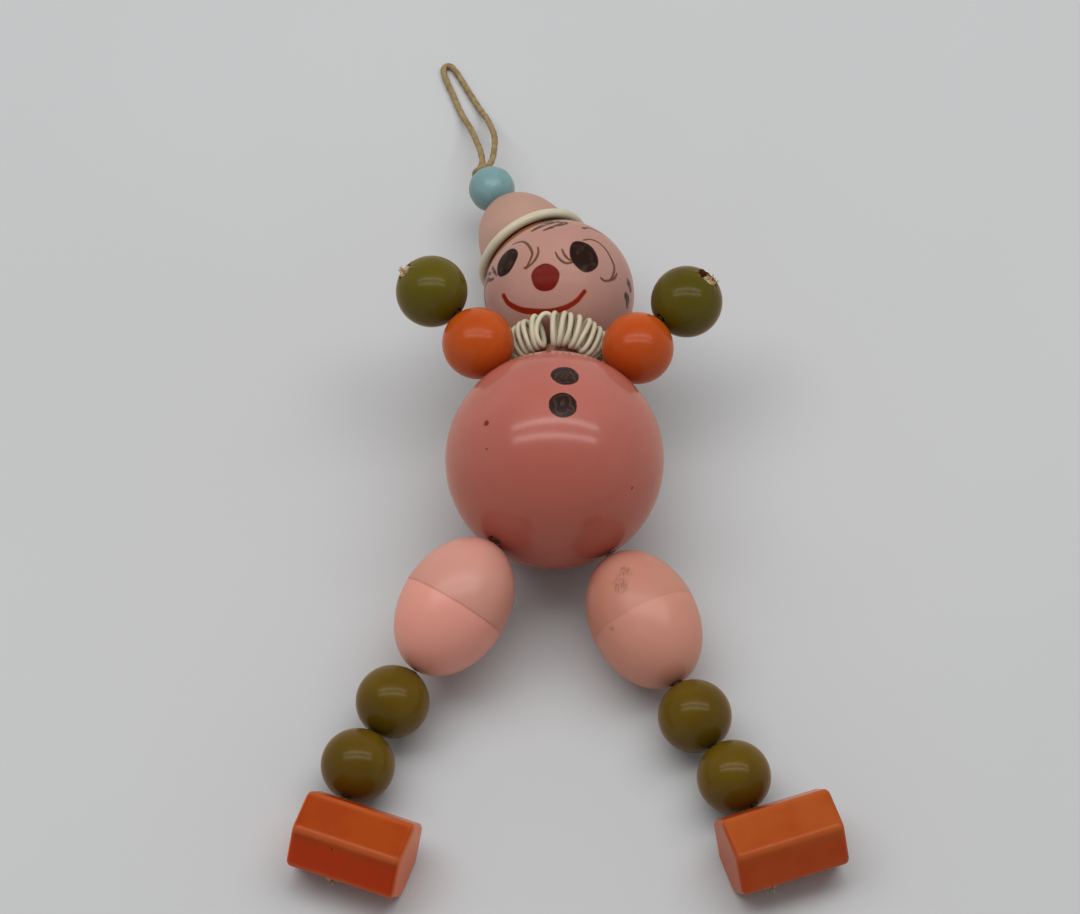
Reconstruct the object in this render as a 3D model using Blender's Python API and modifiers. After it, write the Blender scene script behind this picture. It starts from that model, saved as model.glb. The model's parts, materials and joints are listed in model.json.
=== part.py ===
# A strung clown rattle lying on its back: hollow body ball with loose pellets, ball head under a
# half-egg hat, coil ruff, bead arms, egg thighs, bead legs and six-sided feet, all threaded on cord.
# Metres, +Z up, +Y from the feet to the head, floor at z = 0. The toy's left side is at +X.
import math

import bmesh
import bpy
from mathutils import Matrix, Vector
from mathutils.geometry import interpolate_bezier

MM = 0.001
SQUARE = 90.0

# Balls
BODY_DIAMETER = 48.0 * MM
BODY_WALL = 1.8 * MM
HEAD_DIAMETER = 34.0 * MM
NECK_HEADING = 1.2
NECK_BORE = 4.4 * MM
NECK_BEAD_DIAMETER = 11.6 * MM
NECK_BEAD_LENGTH = 7.6 * MM

# Where the middle of the body ball stands on the floor
BODY_X = -2.95 * MM
BODY_Y = 6.79 * MM

# Cord and its clearances
CORD_DIAMETER = 1.5 * MM
STRAND_SPACING = 1.8 * MM
KNOT_DIAMETER = 3.6 * MM
SEAT_GAP = 0.3 * MM
CORD_END_GAP = 0.2 * MM
LIMB_GAP = 0.7 * MM

# Limb beads
BEAD_DIAMETER = 16.0 * MM
BEAD_BORE = 3.0 * MM
MOUTH_DEPTH = 0.8 * MM

# The knot's pocket in a hand bead
HAND_MOUTH = 5.2 * MM
HAND_POCKET = 3.6 * MM

# Egg shells: thighs in two halves with a spigot joint, and the hat
EGG_LENGTH = 32.2 * MM
EGG_DIAMETER = 23.6 * MM
EGG_WALL = 1.6 * MM
EGG_HOLE = 3.0 * MM
SPIGOT_LENGTH = 1.6 * MM
SPIGOT_WALL = 0.6 * MM

# Hat
HAT_DIAMETER = 22.0 * MM
HAT_HEIGHT = 16.1 * MM
HAT_HEADING = -25.7
HAT_PITCH = -6.5
HAT_RING_TUBE = 2.0 * MM
TOP_BEAD_DIAMETER = 10.6 * MM
TOP_BEAD_LENGTH = 9.6 * MM

# Ruff: a ring of curls round the neck, each curl an oval that leans outwards under the head
RUFF_CURLS = 25
RUFF_TUBE = 1.2 * MM
RUFF_CURL_LENGTH = 9.6 * MM
RUFF_CURL_WIDTH = 4.6 * MM
RUFF_ROOM = 0.7 * MM
RUFF_LEAN = 25.0
RUFF_POINTS = 9
RUFF_LEAST_GAP = 0.4 * MM

# Feet: lengths of six-sided rod, drilled across at a distance from the heel end
FOOT_ACROSS_FLATS = 16.6 * MM
FOOT_LENGTH = 24.4 * MM
RIGHT_FOOT_HEEL = 6.3 * MM
LEFT_FOOT_HEEL = 10.0 * MM
FOOT_EDGE = 0.8 * MM
FOOT_DRILL_PITCH = -14.0
FOOT_POCKET = 2.9 * MM

# Pellets inside the body
PELLET_DIAMETER = 5.0 * MM
PELLET_SPACING = 6.0 * MM
PELLET_COUNT = 4

# Arms: each leaves the body at a spread from the neck, rolled up about the neck from the level.
# The elbow turns the hand bead by a heading, towards +X, and a pitch. The knot's pocket has its own.
ARM_SPREAD = 36.8
ARMS = {
    "right": {
        "way": -1,
        "roll": 26.3,
        "elbow_heading": -15.2,
        "elbow_pitch": -5.4,
        "pocket_heading": -67.7,
        "pocket_pitch": 34.4,
    },
    "left": {
        "way": 1,
        "roll": 24.6,
        "elbow_heading": 14.5,
        "elbow_pitch": -13.1,
        "pocket_heading": 57.3,
        "pocket_pitch": 43.7,
    },
}

# Legs: headings and pitches of hip hole and thigh; the beads and the foot lie along the floor.
# toe is +1 where the toe points to the toy's left.
LEGS = {
    "right": {
        "hip_heading": 213.0,
        "hip_pitch": -2.8,
        "thigh_heading": 213.0,
        "thigh_pitch": -19.6,
        "upper_heading": 216.0,
        "lower_heading": 197.0,
        "foot_heading": 200.0,
        "drill_heading": 189.0,
        "heel": RIGHT_FOOT_HEEL,
        "toe": 1,
    },
    "left": {
        "hip_heading": 147.0,
        "hip_pitch": -20.4,
        "thigh_heading": 154.0,
        "thigh_pitch": -10.5,
        "upper_heading": 153.0,
        "lower_heading": 148.0,
        "foot_heading": 160.7,
        "drill_heading": 170.7,
        "heel": LEFT_FOOT_HEEL,
        "toe": 1,
    },
}

# The loop's middle line from the top bead, seen from above: along the hat's heading, across it, and height
LOOP_ROUTE = (
    (-6.0, -0.9, 0.0),
    (0.5, -0.7, 0.0),
    (3.8, 1.6, -0.4),
    (8.0, 3.0, -2.0),
    (12.0, 4.0, -4.2),
    (16.0, 5.0, -6.8),
    (20.0, 5.8, -9.2),
    (26.0, 6.4, -11.4),
    (32.0, 7.0, -11.6),
    (37.0, 7.5, -11.6),
    (39.5, 8.3, -11.6),
    (39.8, 9.7, -11.6),
    (37.5, 10.5, -11.6),
    (31.0, 10.7, -11.6),
    (25.0, 10.8, -11.2),
    (21.0, 10.6, -9.6),
    (17.5, 10.0, -7.8),
    (12.0, 8.5, -4.2),
    (7.5, 6.5, -1.8),
    (3.3, 3.9, -0.4),
    (0.5, 1.2, 0.0),
    (-6.0, 0.9, 0.0),
)
LOOP_STEPS = 2

# Facets
BALL_STEPS = 28
BALL_ARC = 14
BEAD_STEPS = 18
BEAD_ARC = 9
EGG_STEPS = 20
EGG_ARC = 6
CORD_SIDES = 8
CORD_BENDS = 9
KNOT_ARC = 6
HOLE_SIDES = 16
RING_SIDES = 8
FOOT_SIDES = 6
FOOT_EDGE_STEPS = 2
PELLET_STEPS = 10
PELLET_RINGS = 7

# Finishes: colour, roughness
FINISHES = {
    "body_pink": ((0.56, 0.17, 0.16), 0.16),
    "head_pink": ((0.62, 0.29, 0.26), 0.20),
    "egg_pink": ((0.66, 0.27, 0.21), 0.28),
    "hat_pink": ((0.60, 0.28, 0.24), 0.32),
    "olive": ((0.125, 0.092, 0.010), 0.22),
    "orange": ((0.66, 0.125, 0.014), 0.24),
    "foot_orange": ((0.60, 0.115, 0.020), 0.26),
    "cream": ((0.78, 0.71, 0.58), 0.30),
    "turquoise": ((0.15, 0.44, 0.47), 0.26),
    "neck_tan": ((0.55, 0.24, 0.16), 0.35),
    "waxed_cord": ((0.33, 0.24, 0.12), 0.75),
    "pellet": ((0.60, 0.56, 0.48), 0.45),
}

BODY_RADIUS = BODY_DIAMETER / 2
HEAD_RADIUS = HEAD_DIAMETER / 2
BEAD_RADIUS = BEAD_DIAMETER / 2
EGG_RADIUS = EGG_DIAMETER / 2
CORD_RADIUS = CORD_DIAMETER / 2
BEAD_MOUTH = BEAD_BORE + 2 * SEAT_GAP
KNOT_MOUTH = KNOT_DIAMETER + 2 * SEAT_GAP
HAT_RADIUS = HAT_DIAMETER / 2
HAT_RING_RADIUS = HAT_RADIUS + SEAT_GAP + HAT_RING_TUBE / 2
FOOT_CORNER = FOOT_ACROSS_FLATS / math.sqrt(3)
NECK_GAP = NECK_BEAD_LENGTH + 2 * SEAT_GAP
HEAD_REACH = BODY_RADIUS + NECK_GAP + HEAD_RADIUS


def reset_scene():
    for old in list(bpy.data.objects):
        bpy.data.objects.remove(old, do_unlink=True)


def new_collection(name):
    group = bpy.data.collections.new(name)
    bpy.context.scene.collection.children.link(group)
    return group


def make_finishes():
    made = {}
    for name, (colour, roughness) in FINISHES.items():
        material = bpy.data.materials.new(name)
        material.use_nodes = True
        shader = material.node_tree.nodes["Principled BSDF"]
        shader.inputs["Base Color"].default_value = (*colour, 1.0)
        shader.inputs["Roughness"].default_value = roughness
        made[name] = material
    return made


def direction(heading, pitch=0.0):
    # Unit vector at a heading from +Y towards +X and a pitch above the level, in degrees.
    turn = math.radians(heading)
    rise = math.radians(pitch)
    return Vector((math.sin(turn) * math.cos(rise), math.cos(turn) * math.cos(rise), math.sin(rise)))


def along(point, axis):
    # Placement whose local Z runs along axis and whose local X stays level.
    z_axis = axis.normalized()
    x_axis = Vector((z_axis.y, -z_axis.x, 0.0))
    x_axis = x_axis.normalized() if x_axis.length > 1e-6 else Vector((1.0, 0.0, 0.0))
    y_axis = z_axis.cross(x_axis)
    turned = Matrix((x_axis, y_axis, z_axis)).transposed()
    return Matrix.Translation(point) @ turned.to_4x4()


class Toy:
    # The assembly: makes each piece in its collection, with its finish, under the pivot it moves on.
    def __init__(self):
        self.pieces = new_collection("clown_rattle")
        self.cutters = new_collection("clown_rattle_cutters")
        self.finishes = make_finishes()

    def pivot(self, name, point, axis, parent=None):
        # An empty on a joint's axis, local Z along the axis.
        empty = bpy.data.objects.new(name, None)
        empty.empty_display_size = CORD_DIAMETER
        self.pieces.objects.link(empty)
        self.hang(empty, along(point, axis), parent)
        return empty

    def hang(self, thing, placement, parent):
        if parent is None:
            thing.matrix_world = placement
        else:
            bpy.context.view_layer.update()
            thing.parent = parent
            thing.matrix_parent_inverse = parent.matrix_world.inverted()
            thing.matrix_basis = placement
        bpy.context.view_layer.update()

    def piece(self, name, data, placement, finish, parent):
        thing = bpy.data.objects.new(name, data)
        data.materials.append(self.finishes[finish])
        self.pieces.objects.link(thing)
        self.hang(thing, placement, parent)
        return thing

    def turned(self, name, profile, placement, finish, parent, steps, closed):
        # A profile of (radius, height) points swept round local Z. It runs down its outer side.
        mesh = bpy.data.meshes.new(name)
        points = [(radius, 0.0, height) for radius, height in profile]
        edges = [(i, i + 1) for i in range(len(points) - 1)]
        if closed:
            edges.append((len(points) - 1, 0))
        mesh.from_pydata(points, edges, [])
        thing = self.piece(name, mesh, placement, finish, parent)
        screw = thing.modifiers.new("turn", "SCREW")
        screw.axis = "Z"
        screw.steps = steps
        screw.render_steps = steps
        screw.use_merge_vertices = True
        screw.merge_threshold = 0.00001
        screw.use_smooth_shade = True
        return thing

    def cutter(self, name, radius, start, end):
        # A wire-shown cylinder from start to end.
        axis = end - start
        mesh = bpy.data.meshes.new(name)
        shape = bmesh.new()
        bmesh.ops.create_cone(shape, cap_ends=True, segments=HOLE_SIDES,
                              radius1=radius, radius2=radius, depth=axis.length)
        shape.to_mesh(mesh)
        shape.free()
        thing = bpy.data.objects.new(name, mesh)
        thing.hide_render = True
        thing.display_type = "WIRE"
        self.cutters.objects.link(thing)
        thing.matrix_world = along((start + end) / 2, axis)
        bpy.context.view_layer.update()
        return thing

    def cut(self, thing, tool):
        hole = thing.modifiers.new(tool.name, "BOOLEAN")
        hole.operation = "DIFFERENCE"
        hole.solver = "EXACT"
        hole.object = tool

    def tube(self, name, points, radius, finish, parent, resolution=2):
        # A round cord or wire through the points, with closed ends.
        curve = bpy.data.curves.new(name, "CURVE")
        curve.dimensions = "3D"
        curve.bevel_depth = radius
        curve.bevel_resolution = resolution
        curve.use_fill_caps = True
        spline = curve.splines.new("POLY")
        spline.points.add(len(points) - 1)
        for spot, point in zip(spline.points, points):
            spot.co = (*point, 1.0)
        spline.use_smooth = True
        return self.piece(name, curve, Matrix.Identity(4), finish, parent)

    def cord_length(self, name, start, end, parent):
        # A straight length of cord with flat ends.
        half = (end - start).length / 2
        profile = ((0.0, half), (CORD_RADIUS, half), (CORD_RADIUS, -half), (0.0, -half))
        place = along((start + end) / 2, end - start)
        self.turned(name, profile, place, "waxed_cord", parent, CORD_SIDES, False)

    def knotted_cord(self, name, start, corner, end, parent):
        # A length of cord that turns a corner and ends in a round knot seated at end.
        before = (corner - start).normalized()
        after = (end - corner).normalized()
        bend = CORD_DIAMETER
        rings = [
            (start, before, CORD_RADIUS),
            (corner - before * bend, before, CORD_RADIUS),
            (corner + (after - before) * bend / 4, before + after, CORD_RADIUS),
            (corner + after * bend, after, CORD_RADIUS),
        ]
        knot = KNOT_DIAMETER / 2
        first = math.asin(CORD_RADIUS / knot)
        middle = SEAT_GAP + knot * math.cos(first)
        for i in range(KNOT_ARC):
            angle = first + (math.pi - first) * i / KNOT_ARC
            rings.append((end + after * (middle - knot * math.cos(angle)), after, knot * math.sin(angle)))
        self.ringed(name, rings, "waxed_cord", parent)

    def ringed(self, name, rings, finish, parent):
        # A closed skin through round rings of (middle, axis, radius), with flat ends.
        mesh = bpy.data.meshes.new(name)
        shape = bmesh.new()
        loops = []
        for middle, axis, radius in rings:
            place = along(middle, axis)
            loop = []
            for i in range(CORD_SIDES):
                turn = 2 * math.pi * i / CORD_SIDES
                spot = Vector((radius * math.cos(turn), radius * math.sin(turn), 0.0))
                loop.append(shape.verts.new(place @ spot))
            loops.append(loop)
        for low, high in zip(loops, loops[1:]):
            for i in range(CORD_SIDES):
                k = (i + 1) % CORD_SIDES
                shape.faces.new((low[i], low[k], high[k], high[i])).smooth = True
        shape.faces.new(reversed(loops[0]))
        shape.faces.new(loops[-1])
        shape.to_mesh(mesh)
        shape.free()
        return self.piece(name, mesh, Matrix.Identity(4), finish, parent)


def bead_profile(radius, half_length, bore, mouth, mouth_depth, arc):
    # Closed outline of a round bead: outer arc from mouth to mouth, then back up the bore.
    outline = []
    rim = math.sqrt(1.0 - (mouth / radius) ** 2)
    first = math.acos(rim)
    for i in range(arc + 1):
        angle = first + (math.pi - 2 * first) * i / arc
        outline.append((radius * math.sin(angle), half_length * math.cos(angle) / rim))
    outline.append((bore, -half_length + mouth_depth))
    outline.append((bore, half_length - mouth_depth))
    return outline


def ball_profile(radius, bore, mouth, arc):
    # A true ball, bored through, with countersunk mouths.
    half = math.sqrt(radius ** 2 - mouth ** 2)
    return bead_profile(radius, half, bore, mouth, MOUTH_DEPTH, arc)


def blind_profile(radius, bore, mouth, arc):
    # A true ball, bored from its lower end to its middle.
    first = math.asin(mouth / radius)
    outline = []
    for i in range(arc + 1):
        angle = (math.pi - first) * i / arc
        outline.append((radius * math.sin(angle), radius * math.cos(angle)))
    outline.append((bore, MOUTH_DEPTH - radius * math.cos(first)))
    outline.append((bore, bore))
    outline.append((0.0, bore))
    return outline


def egg_arc(radius, height, hole, arc):
    # Half of an egg from the edge of its tip hole down to its widest ring: an ellipse quarter.
    first = math.asin(hole / radius)
    for i in range(arc + 1):
        angle = first + (math.pi / 2 - first) * i / arc
        yield radius * math.sin(angle), height * math.cos(angle)


def shell_profile(radius, height, wall, hole, lip):
    # Closed outline of a half-egg shell, tip up. lip is "spigot", "socket" or "plain" at the open edge.
    outline = list(egg_arc(radius, height, hole, EGG_ARC))
    inner = list(egg_arc(radius - wall, height - wall, hole, EGG_ARC))
    inner.reverse()
    if lip == "spigot":
        outline.append((radius - wall + SPIGOT_WALL, 0.0))
        outline.append((radius - wall + SPIGOT_WALL, -SPIGOT_LENGTH))
        outline.append((radius - wall, -SPIGOT_LENGTH))
    elif lip == "socket":
        recess = radius - wall + SPIGOT_WALL + SEAT_GAP
        outline.append((recess, 0.0))
        outline.append((recess, SPIGOT_LENGTH + SEAT_GAP))
        inner = [point for point in inner if point[1] > SPIGOT_LENGTH + 2 * SEAT_GAP]
    return outline + inner


def hip_axis(side):
    return direction(LEGS[side]["hip_heading"], LEGS[side]["hip_pitch"])


def make_body(toy, centre, neck_axis, shoulders):
    # The hollow ball: a turned shell open at the neck, drilled for shoulders and hips.
    inner = BODY_RADIUS - BODY_WALL
    neck = NECK_BORE / 2
    profile = []
    last = math.asin(neck / inner)
    for i in range(BALL_ARC + 1):
        angle = math.pi - (math.pi - last) * i / BALL_ARC
        profile.append((inner * math.sin(angle), inner * math.cos(angle)))
    profile[0] = (0.0, -inner)
    first = math.asin(neck / BODY_RADIUS)
    for i in range(BALL_ARC + 1):
        angle = first + (math.pi - first) * i / BALL_ARC
        profile.append((BODY_RADIUS * math.sin(angle), BODY_RADIUS * math.cos(angle)))
    profile[-1] = (0.0, -BODY_RADIUS)
    ball = toy.turned("body_ball", profile, along(centre, neck_axis), "body_pink", None, BALL_STEPS, False)
    for side in ARMS:
        for kind, out in (("shoulder", shoulders[side]), ("hip", hip_axis(side))):
            start = centre + out * (inner - BODY_WALL)
            end = centre + out * (BODY_RADIUS + BODY_WALL)
            toy.cut(ball, toy.cutter(f"{side}_{kind}_hole", BEAD_BORE / 2, start, end))


def make_body_cords(toy, centre, neck_axis, reach):
    # Two strands of the main cord come in at the neck and leave at the hips; the arm cord runs across.
    level = Vector((neck_axis.y, -neck_axis.x, 0.0)).normalized()
    entry = centre + neck_axis * (BODY_RADIUS + NECK_GAP - SEAT_GAP)
    mouth = centre + neck_axis * (BODY_RADIUS - BODY_WALL - CORD_DIAMETER)
    tip = BODY_RADIUS + LIMB_GAP / 2 - CORD_END_GAP
    inner = BODY_RADIUS - BODY_WALL - 2 * CORD_DIAMETER
    for side, sign in (("right", -1), ("left", 1)):
        shift = level * sign * STRAND_SPACING / 2
        out = hip_axis(side)
        swing = bend(mouth + shift, neck_axis, centre + out * inner, out)
        route = [entry + shift, *swing, centre + out * tip]
        toy.tube(f"{side}_body_cord", route, CORD_RADIUS, "waxed_cord", None)
    right, left = reach["right"], reach["left"]
    swing = bend(centre + right * inner, right, centre + left * inner, left)
    route = [centre + right * tip, *swing, centre + left * tip]
    toy.tube("arm_cord", route, CORD_RADIUS, "waxed_cord", None)


def bend(start, start_axis, end, end_axis):
    # A smooth bend from start to end that runs along an outward axis at each end.
    pull = (end - start).length / 3
    return interpolate_bezier(start, start - start_axis * pull, end - end_axis * pull, end, CORD_BENDS)


def smooth(points, steps):
    # Points on a Catmull-Rom curve through the given points.
    points = [Vector(point) for point in points]
    padded = [2 * points[0] - points[1]] + points + [2 * points[-1] - points[-2]]
    run = []
    for a, b, c, d in zip(padded, padded[1:], padded[2:], padded[3:]):
        for i in range(steps):
            t = i / steps
            run.append(0.5 * (2 * b + (c - a) * t + (2 * a - 5 * b + 4 * c - d) * t * t
                              + (3 * b - a - 3 * c + d) * t ** 3))
    run.append(points[-1])
    return run


def make_pellets(toy, centre):
    # Loose pellets on the floor of the hollow ball, each rolling in its own plane about the ball's middle.
    radius = PELLET_DIAMETER / 2
    orbit = BODY_RADIUS - BODY_WALL - SEAT_GAP - radius
    for i in range(PELLET_COUNT):
        across = (i - (PELLET_COUNT - 1) / 2) * PELLET_SPACING
        drop = math.sqrt(orbit ** 2 - across ** 2)
        hub = toy.pivot(f"pellet_{i + 1}_pivot", centre, Vector((1.0, 0.0, 0.0)))
        mesh = bpy.data.meshes.new(f"rattle_pellet_{i + 1}")
        shape = bmesh.new()
        bmesh.ops.create_uvsphere(shape, u_segments=PELLET_STEPS, v_segments=PELLET_RINGS, radius=radius)
        shape.to_mesh(mesh)
        shape.free()
        mesh.shade_smooth()
        spot = Matrix.Translation(centre + Vector((across, 0.0, -drop)))
        toy.piece(f"rattle_pellet_{i + 1}", mesh, spot, "pellet", hub)


def make_neck(toy, centre, neck_axis):
    # The spacer bead on the neck, and the ruff that turns round it.
    half = NECK_GAP / 2 - SEAT_GAP
    middle = centre + neck_axis * (BODY_RADIUS + NECK_GAP / 2)
    profile = bead_profile(NECK_BEAD_DIAMETER / 2, half, NECK_BORE / 2, NECK_BORE / 2, 0.0, BEAD_ARC)[:-2]
    toy.turned("neck_bead", profile, along(middle, neck_axis), "neck_tan", None, BEAD_STEPS, True)
    hub = toy.pivot("ruff_pivot", middle, neck_axis)
    place = along(centre, neck_axis)
    outline = ruff_curl(RUFF_POINTS)
    total = RUFF_CURLS * RUFF_POINTS
    opening = 2 * math.pi / RUFF_CURLS
    points = []
    for i in range(total + 1):
        radius, height = outline[i % RUFF_POINTS]
        round_neck = math.pi / 2 + opening / 2 + (2 * math.pi - opening) * i / total
        points.append(place @ Vector((radius * math.cos(round_neck), radius * math.sin(round_neck), height)))
    first_run = (points[0] - points[1]).normalized() * RUFF_TUBE
    last_run = (points[-1] - points[-2]).normalized() * RUFF_TUBE
    points = [points[0] + first_run] + points + [points[-1] + last_run]
    report_ruff_gap(points)
    toy.tube("ruff_coil", points, RUFF_TUBE / 2, "cream", hub, 1)


def curl_outline(rise, count):
    # Points of one curl, a leaning oval: distance from the neck's line, distance from the body's middle.
    lean = math.radians(RUFF_LEAN)
    long_half = (RUFF_CURL_LENGTH - RUFF_TUBE) / 2
    wide_half = (RUFF_CURL_WIDTH - RUFF_TUBE) / 2
    inward = math.hypot(long_half * math.sin(lean), wide_half * math.cos(lean))
    ring = NECK_BEAD_DIAMETER / 2 + SEAT_GAP + RUFF_TUBE / 2 + inward
    outline = []
    for i in range(count):
        angle = 2 * math.pi * i / count
        length = long_half * math.cos(angle)
        width = wide_half * math.sin(angle)
        outline.append((ring + length * math.sin(lean) - width * math.cos(lean),
                        rise + length * math.cos(lean) + width * math.sin(lean)))
    return outline


def head_room(rise):
    # Free space from a curl's wire to the head ball.
    outline = curl_outline(rise, 4 * RUFF_POINTS)
    nearest = min(math.hypot(radius, HEAD_REACH - height) for radius, height in outline)
    return nearest - HEAD_RADIUS - RUFF_TUBE / 2


def halve(low, high, too_low):
    # The value between low and high where too_low turns false.
    for _ in range(40):
        middle = (low + high) / 2
        if too_low(middle):
            low = middle
        else:
            high = middle
    return low


def ruff_curl(count):
    # The curl pushed up the neck until only its room to the head is left.
    rise = halve(BODY_RADIUS, BODY_RADIUS + NECK_GAP, lambda middle: head_room(middle) > RUFF_ROOM)
    return curl_outline(rise, count)


def shoulder_axes(neck_axis):
    # Directions in which the arms leave the body.
    spread = math.radians(ARM_SPREAD)
    level = Vector((neck_axis.y, -neck_axis.x, 0.0)).normalized()
    upright = level.cross(neck_axis)
    axes = {}
    for side, arm in ARMS.items():
        roll = math.radians(arm["roll"])
        sideways = level * arm["way"] * math.cos(roll) + upright * math.sin(roll)
        axes[side] = neck_axis * math.cos(spread) + sideways * math.sin(spread)
    return axes


def report_ruff_gap(points):
    # Least space between turns: from points to far-off stretches of the same wire, less its diameter.
    least = math.inf
    skip = RUFF_POINTS // 2
    for i, point in enumerate(points):
        for j in range(i + skip, len(points) - 1):
            a = points[j]
            run = points[j + 1] - a
            t = max(0.0, min(1.0, (point - a).dot(run) / run.length_squared))
            least = min(least, (point - a - run * t).length)
    gap = least - RUFF_TUBE
    print(f"ruff: least gap between curls {gap / MM:.2f} mm, wanted over {RUFF_LEAST_GAP / MM:.2f} mm")


def make_head(toy, centre, neck_axis):
    # Head ball on its turning pivot, with both strands of the main cord through it.
    middle = centre + neck_axis * HEAD_REACH
    hub = toy.pivot("head_pivot", middle, neck_axis)
    profile = ball_profile(HEAD_RADIUS, NECK_BORE / 2, NECK_BORE / 2 + MOUTH_DEPTH, BALL_ARC)
    toy.turned("head_ball", profile, along(middle, neck_axis), "head_pink", hub, BALL_STEPS, True)
    level = Vector((neck_axis.y, -neck_axis.x, 0.0)).normalized()
    for side, sign in (("right", -1), ("left", 1)):
        shift = level * sign * STRAND_SPACING / 2
        start = middle - neck_axis * HEAD_RADIUS + shift
        toy.cord_length(f"{side}_head_cord", start, middle + neck_axis * HEAD_RADIUS + shift, hub)
    return middle, hub


def make_hat(toy, head, head_hub):
    # Half-egg hat on the head ball with a ring hooped round its edge, the top bead and the hanging loop.
    hat_axis = direction(HAT_HEADING, HAT_PITCH)
    tilt_axis = Vector((hat_axis.y, -hat_axis.x, 0.0)).normalized()
    hub = toy.pivot("hat_pivot", head, tilt_axis, head_hub)
    tube = HAT_RING_TUBE / 2
    ring_reach = HEAD_RADIUS + SEAT_GAP + tube
    ring_height = math.sqrt(ring_reach ** 2 - HAT_RING_RADIUS ** 2)
    ring = []
    for i in range(RING_SIDES):
        angle = 2 * math.pi * i / RING_SIDES
        ring.append((HAT_RING_RADIUS + tube * math.sin(angle), tube * math.cos(angle)))
    place = along(head + hat_axis * ring_height, hat_axis)
    toy.turned("hat_ring", ring, place, "cream", hub, BALL_STEPS, True)
    brim = math.sqrt((HEAD_RADIUS + SEAT_GAP) ** 2 - (HAT_RADIUS - EGG_WALL) ** 2)
    shell = shell_profile(HAT_RADIUS, HAT_HEIGHT, EGG_WALL, NECK_BORE / 2, "plain")
    place = along(head + hat_axis * brim, hat_axis)
    toy.turned("hat_shell", shell, place, "hat_pink", hub, EGG_STEPS, True)
    tip = brim + HAT_HEIGHT * math.cos(math.asin(NECK_BORE / 2 / HAT_RADIUS))
    across = tilt_axis * STRAND_SPACING / 2
    seat = tip + LIMB_GAP / 2
    for side, sign in (("right", -1), ("left", 1)):
        start = head + hat_axis * (HEAD_RADIUS + 2 * SEAT_GAP) + across * sign
        end = head + hat_axis * (seat - CORD_END_GAP) + across * sign
        toy.cord_length(f"{side}_hat_cord", start, end, hub)
    top_hub = toy.pivot("top_bead_pivot", head + hat_axis * seat, tilt_axis, hub)
    half = TOP_BEAD_LENGTH / 2
    middle = head + hat_axis * (tip + LIMB_GAP + half)
    profile = bead_profile(TOP_BEAD_DIAMETER / 2, half, NECK_BORE / 2, NECK_BORE / 2, 0.0, BEAD_ARC)[:-2]
    toy.turned("top_bead", profile, along(middle, hat_axis), "turquoise", top_hub, BEAD_STEPS, True)
    make_loop(toy, middle + hat_axis * half, top_hub)


def make_loop(toy, exit_point, hub):
    # The hanging loop: the cord comes up through the top bead, lies down on the floor and goes back in.
    ahead = direction(HAT_HEADING)
    aside = Vector((ahead.y, -ahead.x, 0.0))
    slope = math.tan(math.radians(HAT_PITCH))
    route = []
    for forward, across, drop in LOOP_ROUTE:
        height = min(forward, 0.0) * slope * MM + drop * MM
        route.append(exit_point + ahead * forward * MM + aside * across * MM + Vector((0.0, 0.0, height)))
    toy.tube("hanging_loop", smooth(route, LOOP_STEPS), CORD_RADIUS, "waxed_cord", hub)


def limb_bead(toy, name, pivot_point, axis, finish, hub, cord_name):
    # A round limb bead on its own length of cord. Returns its far end.
    far = pivot_point + axis * (BEAD_DIAMETER + LIMB_GAP)
    profile = ball_profile(BEAD_RADIUS, BEAD_BORE / 2, BEAD_MOUTH / 2, BEAD_ARC)
    toy.turned(name, profile, along((pivot_point + far) / 2, axis), finish, hub, BEAD_STEPS, True)
    toy.cord_length(cord_name, pivot_point + axis * CORD_END_GAP, far - axis * CORD_END_GAP, hub)
    return far


def hand_bead(toy, side, elbow, axis, pocket_axis, hub):
    # A round bead bored from the elbow to its middle, and from there out to the knot's pocket.
    middle = elbow + axis * (LIMB_GAP / 2 + BEAD_RADIUS)
    profile = blind_profile(BEAD_RADIUS, BEAD_BORE / 2, BEAD_MOUTH / 2, BEAD_ARC)
    name = f"{side}_hand_bead"
    bead = toy.turned(name, profile, along(middle, axis), "olive", hub, BEAD_STEPS, False)
    clear = middle + pocket_axis * BEAD_DIAMETER
    seat = middle + pocket_axis * (math.sqrt(BEAD_RADIUS ** 2 - (HAND_MOUTH / 2) ** 2) - HAND_POCKET)
    toy.cut(bead, toy.cutter(f"{side}_hand_hole", BEAD_BORE / 2, middle, clear))
    toy.cut(bead, toy.cutter(f"{side}_hand_pocket", HAND_MOUTH / 2, seat, clear))
    toy.knotted_cord(f"{side}_hand_cord", elbow + axis * CORD_END_GAP, middle, seat, hub)


def make_arm(toy, side, centre, out):
    upward = Vector((0.0, 0.0, 1.0))
    shoulder = centre + out * (BODY_RADIUS + LIMB_GAP / 2)
    hub = toy.pivot(f"{side}_shoulder_pivot", shoulder, upward)
    elbow = limb_bead(toy, f"{side}_arm_bead", shoulder, out, "orange", hub, f"{side}_arm_bead_cord")
    arm = ARMS[side]
    heading = math.degrees(math.atan2(out.x, out.y))
    pitch = math.degrees(math.asin(out.z))
    hand_axis = direction(heading + arm["elbow_heading"], pitch + arm["elbow_pitch"])
    hand_hub = toy.pivot(f"{side}_elbow_pivot", elbow, upward, hub)
    pocket_axis = direction(arm["pocket_heading"], arm["pocket_pitch"])
    hand_bead(toy, side, elbow, hand_axis, pocket_axis, hand_hub)


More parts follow.
